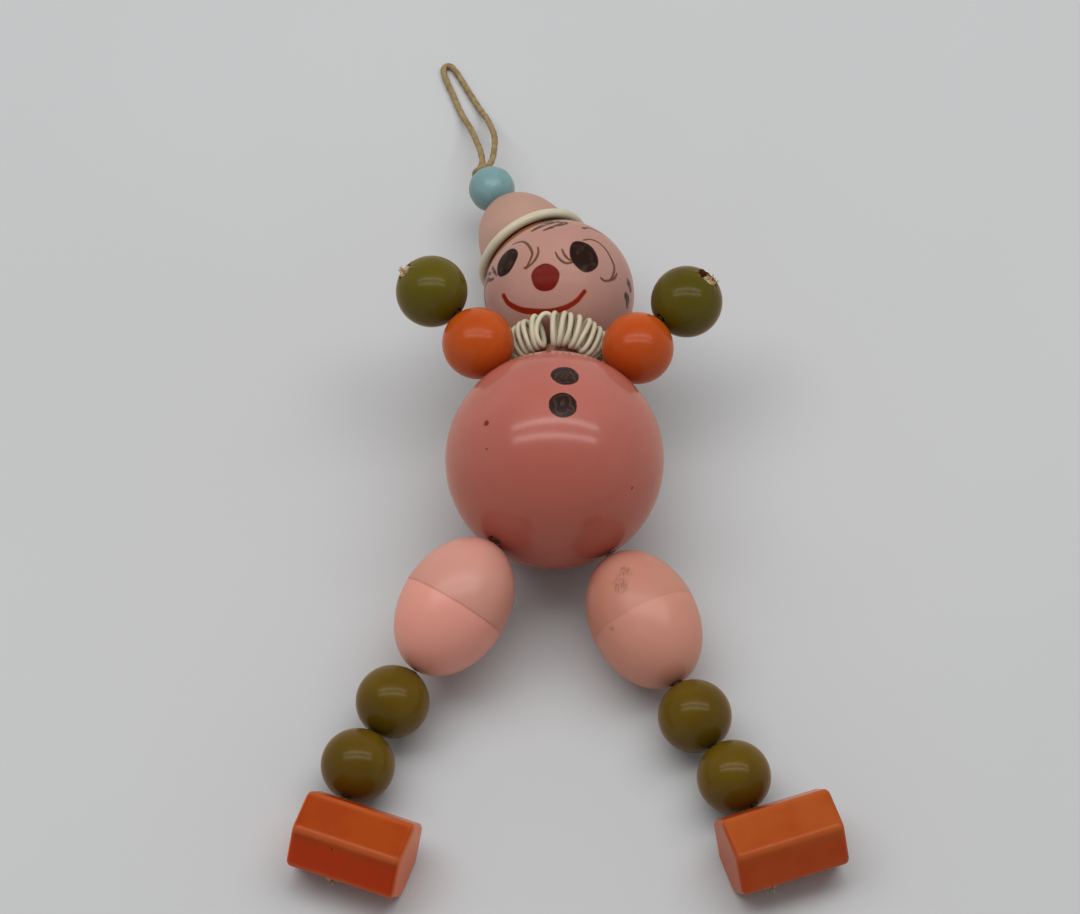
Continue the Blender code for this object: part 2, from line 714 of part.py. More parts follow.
def make_thigh(toy, side, hip, axis, hub):
    # Two half-egg shells that plug together at the seam, on their length of cord.
    middle = hip + axis * (LIMB_GAP + EGG_LENGTH) / 2
    half = EGG_LENGTH / 2 / math.cos(math.asin(EGG_HOLE / EGG_DIAMETER))
    seam = SEAT_GAP / 2
    for name, lip, way in (("hip_shell", "spigot", -1), ("knee_shell", "socket", 1)):
        profile = shell_profile(EGG_RADIUS, half - seam, EGG_WALL, EGG_HOLE / 2, lip)
        place = along(middle + axis * way * seam, axis * way)
        toy.turned(f"{side}_thigh_{name}", profile, place, "egg_pink", hub, EGG_STEPS, True)
    knee = hip + axis * (EGG_LENGTH + LIMB_GAP)
    toy.cord_length(f"{side}_thigh_cord", hip + axis * CORD_END_GAP, knee - axis * CORD_END_GAP, hub)
    return knee


def make_foot(toy, side, ankle, level, hub):
    # A length of six-sided rod lying on a flat. The cord's hole slopes down to the lower face in front.
    leg = LEGS[side]
    toe = Vector((-level.y, level.x, 0.0)) * leg["toe"]
    middle = ankle + level * (LIMB_GAP / 2 + FOOT_CORNER) + toe * (FOOT_LENGTH / 2 - leg["heel"])
    middle.z = FOOT_ACROSS_FLATS / 2
    name = f"{side}_foot"
    mesh = bpy.data.meshes.new(name)
    shape = bmesh.new()
    bmesh.ops.create_cone(shape, cap_ends=True, segments=FOOT_SIDES,
                          radius1=FOOT_CORNER, radius2=FOOT_CORNER, depth=FOOT_LENGTH)
    half_side = math.pi / FOOT_SIDES
    bmesh.ops.rotate(shape, verts=shape.verts, cent=(0, 0, 0), matrix=Matrix.Rotation(half_side, 3, "Z"))
    shape.to_mesh(mesh)
    shape.free()
    foot = toy.piece(name, mesh, along(middle, toe), "foot_orange", hub)
    bevel = foot.modifiers.new("edges", "BEVEL")
    bevel.width = FOOT_EDGE
    bevel.segments = FOOT_EDGE_STEPS
    drill = direction(leg["drill_heading"], FOOT_DRILL_PITCH)
    lower_face = level * math.cos(half_side) - Vector((0.0, 0.0, math.sin(half_side)))
    run = (FOOT_ACROSS_FLATS / 2 + (middle - ankle).dot(lower_face)) / drill.dot(lower_face)
    front = ankle + drill * run
    clear = front + drill * FOOT_CORNER
    toy.cut(foot, toy.cutter(f"{side}_foot_hole", BEAD_BORE / 2, ankle - drill * FOOT_CORNER, clear))
    seat = front - drill * FOOT_POCKET
    toy.cut(foot, toy.cutter(f"{side}_foot_pocket", KNOT_MOUTH / 2, seat, clear))
    start = ankle + drill * CORD_END_GAP
    toy.knotted_cord(f"{side}_foot_cord", start, (start + seat) / 2, seat, hub)


def make_leg(toy, side, centre):
    leg = LEGS[side]
    upward = Vector((0.0, 0.0, 1.0))
    hip = centre + hip_axis(side) * (BODY_RADIUS + LIMB_GAP / 2)
    hub = toy.pivot(f"{side}_hip_pivot", hip, upward)
    knee = make_thigh(toy, side, hip, direction(leg["thigh_heading"], leg["thigh_pitch"]), hub)
    # The upper bead slopes down so that the lower bead lies level on the floor.
    fall = math.degrees(math.asin((knee.z - BEAD_RADIUS) / (BEAD_DIAMETER + LIMB_GAP)))
    upper_axis = direction(leg["upper_heading"], -fall)
    level = direction(leg["upper_heading"] + SQUARE)
    knee_hub = toy.pivot(f"{side}_knee_pivot", knee, level, hub)
    part = f"{side}_upper_leg"
    shin = limb_bead(toy, f"{part}_bead", knee, upper_axis, "olive", knee_hub, f"{part}_cord")
    shin_hub = toy.pivot(f"{side}_shin_pivot", shin, upward, knee_hub)
    lower_axis = direction(leg["lower_heading"])
    part = f"{side}_lower_leg"
    ankle = limb_bead(toy, f"{part}_bead", shin, lower_axis, "olive", shin_hub, f"{part}_cord")
    foot_axis = direction(leg["foot_heading"])
    foot_hub = toy.pivot(f"{side}_ankle_pivot", ankle, foot_axis, shin_hub)
    make_foot(toy, side, ankle, foot_axis, foot_hub)


def main():
    reset_scene()
    toy = Toy()
    centre = Vector((BODY_X, BODY_Y, BODY_RADIUS))
    # The head lies on the floor too, so the neck slopes down by the difference of the two radii.
    slope = math.degrees(math.asin((HEAD_RADIUS - BODY_RADIUS) / HEAD_REACH))
    neck_axis = direction(NECK_HEADING, slope)
    shoulders = shoulder_axes(neck_axis)
    make_body(toy, centre, neck_axis, shoulders)
    make_body_cords(toy, centre, neck_axis, shoulders)
    make_pellets(toy, centre)
    make_neck(toy, centre, neck_axis)
    head, head_hub = make_head(toy, centre, neck_axis)
    make_hat(toy, head, head_hub)
    for side in ("right", "left"):
        make_arm(toy, side, centre, shoulders[side])
        make_leg(toy, side, centre)


main()
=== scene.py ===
import json
import bpy
import numpy as np
from mathutils import Matrix, Vector


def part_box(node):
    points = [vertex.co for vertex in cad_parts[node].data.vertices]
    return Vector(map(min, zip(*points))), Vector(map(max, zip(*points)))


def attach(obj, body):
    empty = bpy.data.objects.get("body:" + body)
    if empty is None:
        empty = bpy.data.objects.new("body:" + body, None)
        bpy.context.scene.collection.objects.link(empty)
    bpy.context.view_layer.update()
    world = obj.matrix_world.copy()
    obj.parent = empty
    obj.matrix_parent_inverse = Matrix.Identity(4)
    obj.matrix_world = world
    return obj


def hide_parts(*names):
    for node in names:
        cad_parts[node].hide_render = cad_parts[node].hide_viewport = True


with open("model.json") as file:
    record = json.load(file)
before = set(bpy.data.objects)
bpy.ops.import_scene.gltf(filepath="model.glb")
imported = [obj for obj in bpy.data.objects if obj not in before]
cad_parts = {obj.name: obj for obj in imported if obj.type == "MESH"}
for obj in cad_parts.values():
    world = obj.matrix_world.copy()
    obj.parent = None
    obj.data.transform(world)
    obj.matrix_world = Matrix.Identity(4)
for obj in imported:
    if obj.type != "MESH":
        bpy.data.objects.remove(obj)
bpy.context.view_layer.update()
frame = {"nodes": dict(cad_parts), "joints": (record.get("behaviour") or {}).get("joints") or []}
scene = bpy.context.scene
mm = 0.001
fullTurn = 2 * np.pi
joints = {joint["name"]: joint for joint in frame["joints"]}
up = np.array((0.0, 0.0, 1.0))
bothSides = ("right", "left")


def unit(vector):
    return np.asarray(vector, float) / np.linalg.norm(vector)


def pivot(name):
    return np.array(joints[name]["pos_m"])


def middle(node):
    low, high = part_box(node)
    return np.array((low + high) / 2)


def basis(axis):  # side stays level, lift points up where it can
    axis = unit(axis)
    side = unit(np.cross(axis, up))
    return side, np.cross(side, axis), axis


def headed(heading, pitch):  # degrees round from +Y towards +X, and up
    turn, rise = np.radians((heading, pitch))
    return np.array((np.sin(turn) * np.cos(rise), np.cos(turn) * np.cos(rise), np.sin(rise)))


def ringWays(side, lift, count):  # side cos a + lift sin a, all the way round
    angle = np.linspace(0, fullTurn, count, endpoint=False)
    return np.outer(np.cos(angle), side) + np.outer(np.sin(angle), lift)


# Camera: found from the circles of the balls in the photograph
shot = {"elevation": 57.66, "heading": 0.2, "roll": 0.37, "distance": 1090.8 * mm,
        "aim": (-6.13 * mm, 15.2 * mm, 12.0 * mm), "focalPixels": 4905.8, "frameWidth": 1080, "sensor": 36.0,
        "nearest": 50.0 * mm}


def makeCamera():
    rise, turn, roll = np.radians((shot["elevation"], shot["heading"], shot["roll"]))
    back = np.array((-np.sin(turn) * np.cos(rise), -np.cos(turn) * np.cos(rise), np.sin(rise)))
    level = np.array((np.cos(turn), -np.sin(turn), 0.0))
    upright = np.cross(back, level)
    right = np.cos(roll) * level + np.sin(roll) * upright
    top = np.cos(roll) * upright - np.sin(roll) * level
    data = bpy.data.cameras.new("photoCamera")
    data.sensor_fit = "HORIZONTAL"
    data.sensor_width = shot["sensor"]
    data.lens = shot["focalPixels"] * shot["sensor"] / shot["frameWidth"]
    data.clip_start = shot["nearest"]
    camera = bpy.data.objects.new("photoCamera", data)
    scene.collection.objects.link(camera)
    place = np.eye(4)
    place[:3, :3] = np.stack((right, top, back), 1)
    place[:3, 3] = np.array(shot["aim"]) + back * shot["distance"]
    camera.matrix_world = Matrix(place.tolist())
    scene.camera = camera


makeCamera()
print("camera ready")


# Shader wiring: one socket with arithmetic, and one method for every other node
class Wire:
    def __init__(self, nodes, socket=None):
        self.nodes = nodes
        self.socket = socket

    def add(self, kind, settings=None, inputs=None, output=0):
        node = self.nodes.new(kind)
        for key, value in (settings or {}).items():
            setattr(node, key, value)
        for key, value in (inputs or {}).items():
            self.feed(node.inputs[key], value)
        return Wire(self.nodes, node.outputs[output])

    def feed(self, socket, value):
        if isinstance(value, Wire):
            self.nodes.id_data.links.new(value.socket, socket)
        else:
            socket.default_value = value

    def maths(self, operation, first, second=0.0):
        return self.add("ShaderNodeMath", {"operation": operation}, {0: first, 1: second})

    def __add__(self, other):
        return self.maths("ADD", self, other)

    def __radd__(self, other):
        return self.maths("ADD", other, self)

    def __sub__(self, other):
        return self.maths("SUBTRACT", self, other)

    def __rsub__(self, other):
        return self.maths("SUBTRACT", other, self)

    def __mul__(self, other):
        return self.maths("MULTIPLY", self, other)

    def __rmul__(self, other):
        return self.maths("MULTIPLY", other, self)

    def __truediv__(self, other):
        return self.maths("DIVIDE", self, other)

    def __rtruediv__(self, other):
        return self.maths("DIVIDE", other, self)

    def vector(self, operation, other=(0.0, 0.0, 0.0), output=0):
        return self.add("ShaderNodeVectorMath", {"operation": operation}, {0: self, 1: other}, output)

    def away(self, point):  # distance from a point
        return self.vector("DISTANCE", tuple(point), 1)

    def along(self, axis):
        return self.vector("DOT_PRODUCT", tuple(axis), 1)

    def step(self, low, high):  # smooth rise from 0 at low to 1 at high
        settings = {"interpolation_type": "SMOOTHSTEP"}
        return self.add("ShaderNodeMapRange", settings, {0: self, 1: low, 2: high})

    def noise(self, scale, detail=2.0):
        return self.add("ShaderNodeTexNoise", {}, {"Vector": self, "Scale": scale, "Detail": detail})

    def over(self, colour, mask):  # self with colour laid over it where mask is 1
        colour = colour if isinstance(colour, Wire) else (*colour, 1.0)
        return self.add("ShaderNodeMix", {"data_type": "RGBA"}, {0: mask, 6: self, 7: colour}, 2)


def blend(tree, first, second, mask):
    inputs = {0: mask, 6: (*first, 1.0), 7: (*second, 1.0)}
    return tree.add("ShaderNodeMix", {"data_type": "RGBA"}, inputs, 2)


surface = {"grain": 1400.0, "wear": 0.05, "bump": 0.012, "ior": 1.48, "shine": 0.5,  # unless a look differs
           "cloudDetail": 3.0, "toneEdges": (0.35, 0.65), "bumpDepth": 0.1 * mm}


def finish(name, look, marks=None):
    # Base colour wanders between two tones; roughness varies with fine grain and handling wear.
    look = dict(surface, **look)
    material = bpy.data.materials.new(name)
    material.use_nodes = True
    nodes = material.node_tree.nodes
    shader = nodes["Principled BSDF"]
    tree = Wire(nodes)
    place = tree.add("ShaderNodeTexCoord", output=3)
    cloud = place.noise(look["cloud"], look["cloudDetail"])
    grain = place.noise(look["grain"])
    colour = blend(tree, look["colour"], look["tone"], cloud.step(*look["toneEdges"]))
    rough = look["rough"] + (grain - 0.5) * look["wear"] + (cloud - 0.5) * look["wear"]
    if marks:
        colour, rough = marks(tree, place, colour, rough)
    tree.feed(shader.inputs["Base Color"], colour)
    tree.feed(shader.inputs["Roughness"], rough)
    inputs = {"Strength": look["bump"], "Distance": look["bumpDepth"], "Height": grain}
    tree.feed(shader.inputs["Normal"], tree.add("ShaderNodeBump", {}, inputs))
    shader.inputs["IOR"].default_value = look["ior"]
    shader.inputs["Specular IOR Level"].default_value = look["shine"]
    return material


# Mesh making: grids of points, whole arrays at once
def gridFaces(rows, columns, closeRows):
    row = np.arange(rows if closeRows else rows - 1)
    i, j = np.meshgrid(row, np.arange(columns), indexing="ij")
    below, beside = (i + 1) % rows, (j + 1) % columns
    corners = (i * columns + j, i * columns + beside, below * columns + beside, below * columns + j)
    return np.stack(corners, -1).reshape(-1, 4)


def shell(grid, ends=None):
    # Closed skin over a grid of rings: rings meet in a loop, or end in two pole points.
    rows, columns = grid.shape[:2]
    points = grid.reshape(-1, 3)
    faces = [gridFaces(rows, columns, ends is None)]
    if ends is not None:
        j = np.arange(columns)
        k = (j + 1) % columns
        count = rows * columns
        last = count - columns
        points = np.vstack((points, ends))
        faces.append(np.stack((np.full(columns, count), k, j), -1))
        faces.append(np.stack((last + j, last + k, np.full(columns, count + 1)), -1))
    return points, faces


def outward(points, faces):
    volume = 0.0
    for group in faces:
        a, b, c = points[group[:, 0]], points[group[:, 1]], points[group[:, -1]]
        volume += np.einsum("ij,ij->", a, np.cross(b, c))
        if group.shape[1] == 4:
            volume += np.einsum("ij,ij->", points[group[:, 2]], np.cross(c, b))
    return faces if volume > 0 else [group[:, ::-1] for group in faces]


def piece(name, skins, body, material, stands=(), sharp=40.0):
    # One object from closed skins; it rides on a body and stands for CAD nodes.
    allPoints, allFaces, shift = [], [], 0
    for points, faces in skins:
        centred = points - points.mean(0)
        allFaces += [group + shift for group in outward(centred, faces)]
        allPoints.append(points)
        shift += len(points)
    points = np.vstack(allPoints)
    corners = np.concatenate([group.ravel() for group in allFaces])
    sizes = np.concatenate([np.full(len(group), group.shape[1]) for group in allFaces])
    starts = np.concatenate(([0], np.cumsum(sizes)[:-1]))
    mesh = bpy.data.meshes.new(name)
    mesh.vertices.add(len(points))
    mesh.vertices.foreach_set("co", points.astype(np.float32).ravel())
    mesh.loops.add(len(corners))
    mesh.loops.foreach_set("vertex_index", corners.astype(np.int32))
    mesh.polygons.add(len(sizes))
    mesh.polygons.foreach_set("loop_start", starts.astype(np.int32))
    mesh.polygons.foreach_set("use_smooth", np.ones(len(sizes), bool))
    mesh.update()
    mesh.set_sharp_from_angle(angle=np.radians(sharp))
    mesh.materials.append(material)
    thing = bpy.data.objects.new(name, mesh)
    scene.collection.objects.link(thing)
    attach(thing, body)
    if stands:
        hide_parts(*stands)
    return thing


def turned(profile, steps, centre, axis):
    # point = centre + height * axis + radius * (side cos a + lift sin a), for a closed (radius, height) loop
    side, lift, axis = basis(axis)
    ring = ringWays(side, lift, steps)
    radius, height = np.asarray(profile).T
    return shell(centre + height[:, None, None] * axis + radius[:, None, None] * ring)


def ballGrid(radius, polar, columns, centre, axis):
    # point = centre + radius * (axis cos p + sin p (side cos a + lift sin a))
    side, lift, axis = basis(axis)
    ring = ringWays(side, lift, columns)
    grid = centre + radius * (np.cos(polar)[:, None, None] * axis + np.sin(polar)[:, None, None] * ring)
    return grid, np.stack((centre + radius * axis, centre - radius * axis))


def drilled(points, centre, way, radius, depth, edge=0.3 * mm):
    # Points inside the hole's radius sink by depth along it, with a short slope at the rim.
    way = unit(way)
    run = (points - centre) @ way
    off = np.linalg.norm(points - centre - run[..., None] * way, axis=-1)
    t = np.clip((radius + edge - off) / edge, 0, 1) * (run > 0)
    return points - (depth * t * t * (3 - 2 * t))[..., None] * way


def arc(radius, height, start, end, count):
    # Part of an ellipse as a profile: (radius sin a, height cos a)
    a = np.linspace(start, end, count)
    return np.stack((radius * np.sin(a), height * np.cos(a)), 1)


def boredProfile(look, count, boreCount):
    # Flattened bead: outer arc from hole to hole, then back along the bore
    rim = np.sqrt(1 - (look["bore"] / look["radius"]) ** 2)
    first = np.arccos(rim)
    outer = arc(look["radius"], look["half"] / rim, first, np.pi - first, count)
    height = np.linspace(-look["half"], look["half"], boreCount)[1:-1]
    return np.vstack((outer, np.column_stack((np.full(len(height), look["bore"]), height))))


def smoothRun(points, steps):
    # Catmull-Rom through the points: 0.5 (2b + (c-a)t + (2a-5b+4c-d)t^2 + (3b-a-3c+d)t^3)
    p = np.asarray(points, float)
    p = np.vstack((2 * p[0] - p[1], p, 2 * p[-1] - p[-2]))
    t = (np.arange(steps) / steps)[None, :, None]
    a, b, c, d = (p[i:len(p) - 3 + i, None, :] for i in range(4))
    square, cube = 2 * a - 5 * b + 4 * c - d, 3 * b - a - 3 * c + d
    run = 0.5 * (2 * b + (c - a) * t + square * t ** 2 + cube * t ** 3)
    return np.vstack((run.reshape(-1, p.shape[1]), p[-2]))


def lengthOf(path):
    return np.linalg.norm(np.diff(path, axis=0), axis=1).sum()


def carriedFrame(path):
    # Side and lift vectors carried along the path without twist.
    ahead = np.roll(path, -1, 0) - np.roll(path, 1, 0)
    ahead[0], ahead[-1] = path[1] - path[0], path[-1] - path[-2]
    ahead /= np.linalg.norm(ahead, axis=1)[:, None]
    steep = abs(ahead[0][2]) > 0.9
    side = unit(np.cross(ahead[0], (1.0, 0.0, 0.0) if steep else up))
    sides = []
    for way in ahead:
        side = unit(side - (side @ way) * way)
        sides.append(side)
    sides = np.array(sides)
    return sides, np.cross(ahead, sides)


def rope(path, radius, twist):
    # Plies twisted together: r(a, s) = R (1 - groove (1 - |cos(plies (a - turn s) / 2)|))
    side, lift = carriedFrame(path)
    run = np.concatenate(([0], np.cumsum(np.linalg.norm(np.diff(path, axis=0), axis=1))))
    angle = np.linspace(0, fullTurn, twist["around"], endpoint=False)
    lobe = np.abs(np.cos(twist["plies"] * (angle - fullTurn * run[:, None] / twist["pitch"]) / 2))
    reach = radius * (1 - twist["groove"] * (1 - lobe))
    grid = path[:, None] + reach[..., None] * (
        np.cos(angle)[:, None] * side[:, None] + np.sin(angle)[:, None] * lift[:, None])
    return shell(grid, np.stack((path[0], path[-1])))


def straight(start, end, count):
    return start + np.linspace(0, 1, count)[:, None] * (end - start)


def nameOf(node):
    return node.replace("_", " ").title().replace(" ", "")


# Hanging loop: one doubled waxed twine that comes up through the top bead
twine = {"radius": 0.75 * mm, "plies": 2, "pitch": 5.2 * mm, "groove": 0.16, "around": 16,
         "colour": (0.34, 0.25, 0.12), "tone": (0.25, 0.165, 0.065), "cloud": 700.0, "grain": 3800.0,
         "rough": 0.58, "wear": 0.2, "bump": 0.6, "ior": 1.45}
loop = {"beadReach": 9.95 * mm, "smoothing": 10, "route": (  # mm from the exit: along the hat, across, height
    (-6.0, -0.9, 0.0), (0.5, -0.7, 0.0), (3.8, 1.6, -0.4), (8.0, 3.0, -2.0), (12.0, 4.0, -4.2),
    (16.0, 5.0, -6.8), (20.0, 5.8, -9.2), (26.0, 6.4, -11.4), (32.0, 7.0, -11.6), (37.0, 7.5, -11.6),
    (39.5, 8.3, -11.6), (39.8, 9.7, -11.6), (37.5, 10.5, -11.6), (31.0, 10.7, -11.6), (25.0, 10.8, -11.2),
    (21.0, 10.6, -9.6), (17.5, 10.0, -7.8), (12.0, 8.5, -4.2), (7.5, 6.5, -1.8), (3.3, 3.9, -0.4),
    (0.5, 1.2, 0.0), (-6.0, 0.9, 0.0))}
knotTie = {"forward": 1.0 * mm, "wide": 2.1 * mm, "tall": 1.7 * mm, "points": 40, "shift": 0.4 * mm,
           "thin": 0.9}
twineFinish = finish("waxedTwine", twine)
hatAxis = unit(pivot("top_bead_tilt") - pivot("head_turn"))
loopExit = pivot("top_bead_tilt") + hatAxis * loop["beadReach"]
ahead = unit(hatAxis * (1, 1, 0))
aside = np.cross(ahead, up)


def makeLoop():
    route = np.array(loop["route"]) * mm
    height = np.minimum(route[:, 0], 0) * hatAxis[2] / np.hypot(*hatAxis[:2]) + route[:, 2]
    points = loopExit + route[:, :1] * ahead + route[:, 1:2] * aside + height[:, None] * up
    path = smoothRun(points, loop["smoothing"])
    cord = piece("loopCord", [rope(path, twine["radius"], twine)], "hat_top", twineFinish,
                 ["hanging_loop"])
    a = np.linspace(0, fullTurn, knotTie["points"])
    ring = loopExit + ahead * knotTie["forward"] + aside * knotTie["shift"] + (
        np.cos(a)[:, None] * aside * knotTie["wide"] + np.sin(a)[:, None] * up * knotTie["tall"])
    skin = rope(ring, twine["radius"] * knotTie["thin"], twine)
    tie = piece("loopTie", [skin], "hat_top", twineFinish)
    print("loop length", round(lengthOf(path) / mm, 1), "mm")


makeLoop()
print("loop laid")


# Body ball with its painted buttons and chips, and painted shade towards the legs and round the hip holes
body = {"radius": 24.0 * mm, "rows": 180, "columns": 360, "hole": 1.15 * mm, "holeDepth": 1.0 * mm,
        "colour": (0.47, 0.143, 0.110), "tone": (0.435, 0.123, 0.093), "cloud": 45.0,
        "rough": 0.17, "ior": 1.5, "shine": 0.45}
buttons = {"spots": ((2.1, 7.4, 22.7), (1.65, -1.0, 23.9)), "radius": 3.1 * mm, "ragged": 0.5 * mm,
           "paint": (0.022, 0.009, 0.006), "streak": (0.065, 0.026, 0.020), "swirl": 5.5 * mm,
           "rings": 3800.0, "wobble": 420.0, "soft": 0.12 * mm, "streakEdges": (0.2, 0.9), "dull": 0.12}
chips = {"spots": (((-14.9, -2.4, 18.7), 0.7 * mm), ((-14.7, -8.1, 17.2), 0.33 * mm),
                   ((16.7, -13.7, 10.5), 0.4 * mm)),
         "ragged": 0.9 * mm, "wobble": 1100.0, "paint": (0.20, 0.014, 0.014)}
hipStainAndShade = {"reach": 3.6 * mm, "colour": (0.24, 0.060, 0.020), "share": 0.4}  # round the hip holes: partly a brown stain, partly painted shade where the thighs meet the body
lowerShade = {"reach": (2.0 * mm, 22.0 * mm), "colour": (0.42, 0.093, 0.062), "share": 0.75}  # painted shade: the body darker and redder towards the legs
bodyCentre = pivot("pellet_1_roll")
neckAxis = np.array(joints["head_turn"]["axis"])
hips = {side: pivot(f"{side}_hip_swing") - bodyCentre for side in bothSides}
shoulders = {side: pivot(f"{side}_shoulder_swing") - bodyCentre for side in bothSides}


def bodyMarks(tree, place, colour, rough):
    wobble = place.noise(buttons["wobble"], 3.0)
    # painted shade: darker brown round each hip hole, partly a real stain
    for hip in hips.values():
        near = place.away(bodyCentre + unit(hip) * body["radius"]) + (wobble - 0.5) * hipStainAndShade["reach"]
        close = 1.0 - near.step(body["hole"], hipStainAndShade["reach"])
        colour = colour.over(hipStainAndShade["colour"], close * hipStainAndShade["share"])
    # painted shade: darker and redder towards the legs
    low = (float(bodyCentre[1]) - place.along((0.0, 1.0, 0.0))).step(*lowerShade["reach"])
    colour = colour.over(lowerShade["colour"], low * lowerShade["share"])
    for spot, wide in chips["spots"]:
        ragged = (place.noise(chips["wobble"]) - 0.5) * chips["ragged"]
        near = place.away(bodyCentre + np.array(spot) * mm) + ragged
        colour = colour.over(chips["paint"], 1.0 - near.step(wide * 0.7, wide * 1.2))
    for spot in buttons["spots"]:
        away = place.away(bodyCentre + np.array(spot) * mm)
        near = away + (wobble - 0.5) * buttons["ragged"]
        mask = 1.0 - near.step(buttons["radius"] - buttons["soft"], buttons["radius"] + buttons["soft"])
        swirl = tree.maths("SINE", (away + (wobble - 0.5) * buttons["swirl"]) * buttons["rings"])
        streaks = (swirl * wobble * 2.0).step(*buttons["streakEdges"])
        paint = blend(tree, buttons["paint"], buttons["streak"], streaks)
        colour = colour.over(paint, mask)
        rough = rough + mask * buttons["dull"]
    return colour, rough


def makeBody():
    polar = np.linspace(0, np.pi, body["rows"] + 2)[1:-1]
    grid, ends = ballGrid(body["radius"], polar, body["columns"], bodyCentre, neckAxis)
    for way in (*hips.values(), *shoulders.values()):
        grid = drilled(grid, bodyCentre, way, body["hole"], body["holeDepth"])
    material = finish("bodyPink", body, bodyMarks)
    piece("bodySkin", [shell(grid, ends)], "torso", material, ["body_ball"])


makeBody()
print("body made")


# Head ball; the painted face is a point attribute laid out in millimetres on the face's own plane
head = {"radius": 17.0 * mm, "columns": 420, "fineRows": 165, "coarseRows": 36, "fineReach": 78.0,
        "front": (-0.10, -0.42, 0.90), "crown": (0.04, 1.0, 0.3), "edge": 0.14,
        "colour": (0.485, 0.272, 0.226), "tone": (0.455, 0.241, 0.195), "cloud": 50.0,
        "rough": 0.19, "ior": 1.45, "shine": 0.12}
brimShade = {"ring": 12.3 * mm, "reach": 18.3 * mm, "lower": (-2.9 * mm, -2.2 * mm),
             "upper": (-0.3 * mm, 1.2 * mm), "warm": (0.25, 0.080, 0.022), "dark": (0.055, 0.032, 0.014),
             "turn": (-8.0 * mm, -4.0 * mm), "share": 0.9}
face = {
    "dark": (0.022, 0.010, 0.007), "darkStreak": (0.060, 0.028, 0.018), "red": (0.25, 0.017, 0.006),
    "redDeep": (0.145, 0.006, 0.003), "line": (0.13, 0.052, 0.024), "hair": (0.055, 0.036, 0.028),
    "eyes": (((-10.9, 5.4), (3.0, 3.55), -20.0), ((6.8, 6.6), (3.3, 4.1), 15.0)),  # place, half size, lean
    "nose": ((-1.55, 1.2), 3.2), "noseEdge": (0.2, 0.5), "noseShare": 0.85, "ragged": 0.05, "cover": 0.95,
    "brush": 650.0, "dull": 0.05, "strokeSteps": 12,
    "smile": (((-11.2, -2.4), (-10.2, -4.0), (-8.8, -5.0), (-6.8, -5.9), (-4.7, -6.3), (-2.5, -6.5),
               (-0.3, -6.4), (1.9, -5.9), (3.8, -5.1), (5.6, -3.8), (7.2, -1.7)), (0.6, 0.8, 0.5)),
    "lines": (((-9.7, 9.7), (-8.5, 10.0), (-7.2, 10.0), (-6.0, 9.1), (-5.1, 7.7), (-4.8, 6.4), (-5.7, 4.0),
               (-6.4, 3.4)),
              ((-3.6, 8.3), (-3.4, 7.1), (-3.8, 5.7), (-4.6, 4.5), (-6.0, 3.3)),
              ((6.3, 10.5), (7.8, 10.9), (9.6, 10.3), (11.3, 8.7), (12.5, 6.6), (13.2, 4.8), (13.1, 3.1),
               (12.5, 1.6), (11.4, 1.2), (10.6, 1.7)),
              ((12.4, 1.4), (13.3, 2.1), (13.8, 3.3)),
              ((0.5, 7.0), (1.1, 5.9), (2.0, 5.0), (3.1, 4.5), (4.4, 4.8)),
              ((1.9, 7.8), (2.4, 6.7), (3.1, 5.8), (4.0, 5.2))),
    "lineWidth": (0.22, 0.33, 0.26),
    "hairs": ((((-5.4, 12.9), (-3.9, 13.9), (-2.6, 14.7), (-1.2, 15.2), (0.3, 15.4), (1.6, 15.2)),
               (0.5, 1.1, 0.7)),
              (((-2.7, 12.8), (-1.5, 13.4), (-0.4, 14.0), (0.9, 14.8)), (0.3, 0.6, 0.4)),
              (((0.2, 14.0), (1.2, 14.4), (2.2, 14.9)), (0.2, 0.35, 0.3)),
              (((5.9, 13.9), (7.0, 14.3), (8.4, 13.8), (10.0, 13.1)), (0.5, 0.42, 0.2)),
              (((-14.5, 4.8), (-13.9, 3.7), (-13.1, 2.6)), (0.4, 0.5, 0.3)),
              (((-16.2, 3.7), (-15.5, 3.6), (-14.8, 3.3)), (0.6, 0.6, 0.4)),
              (((-16.1, 2.6), (-14.8, 1.8), (-13.9, 1.9)), (0.45, 0.5, 0.3)),
              (((-15.5, 2.1), (-16.2, 1.3), (-16.5, -0.1), (-16.4, -1.6), (-16.0, -3.2)), (0.7, 0.9, 0.6)),
              (((16.0, 2.2), (16.3, 1.5), (16.5, 0.6)), (0.8, 1.0, 0.7)),
              (((15.7, -1.1), (16.0, -1.8), (16.0, -3.2)), (0.8, 1.0, 0.7)))}
headCentre = pivot("head_turn")


def faceAxes():
    front = unit(head["front"])
    side = unit(np.cross(head["crown"], front))
    return side, np.cross(front, side), front


def strokeMask(spots, points, widths):
    # 1 inside a brush stroke whose half width runs through three values along it
    run = smoothRun(points, face["strokeSteps"])
    share = np.linspace(0, 1, len(run))
    half = np.interp(share, (0, 0.5, 1), widths)
    depth = np.sqrt(np.maximum((head["radius"] / mm) ** 2 - (run ** 2).sum(1), 0))
    line = np.column_stack((run, depth))
    most = np.zeros(len(spots))
    for dot, wide in zip(line, half):
        gap = np.linalg.norm(spots - dot, axis=1)
        most = np.maximum(most, np.clip((wide + head["edge"] / 2 - gap) / head["edge"], 0, 1))
    return most


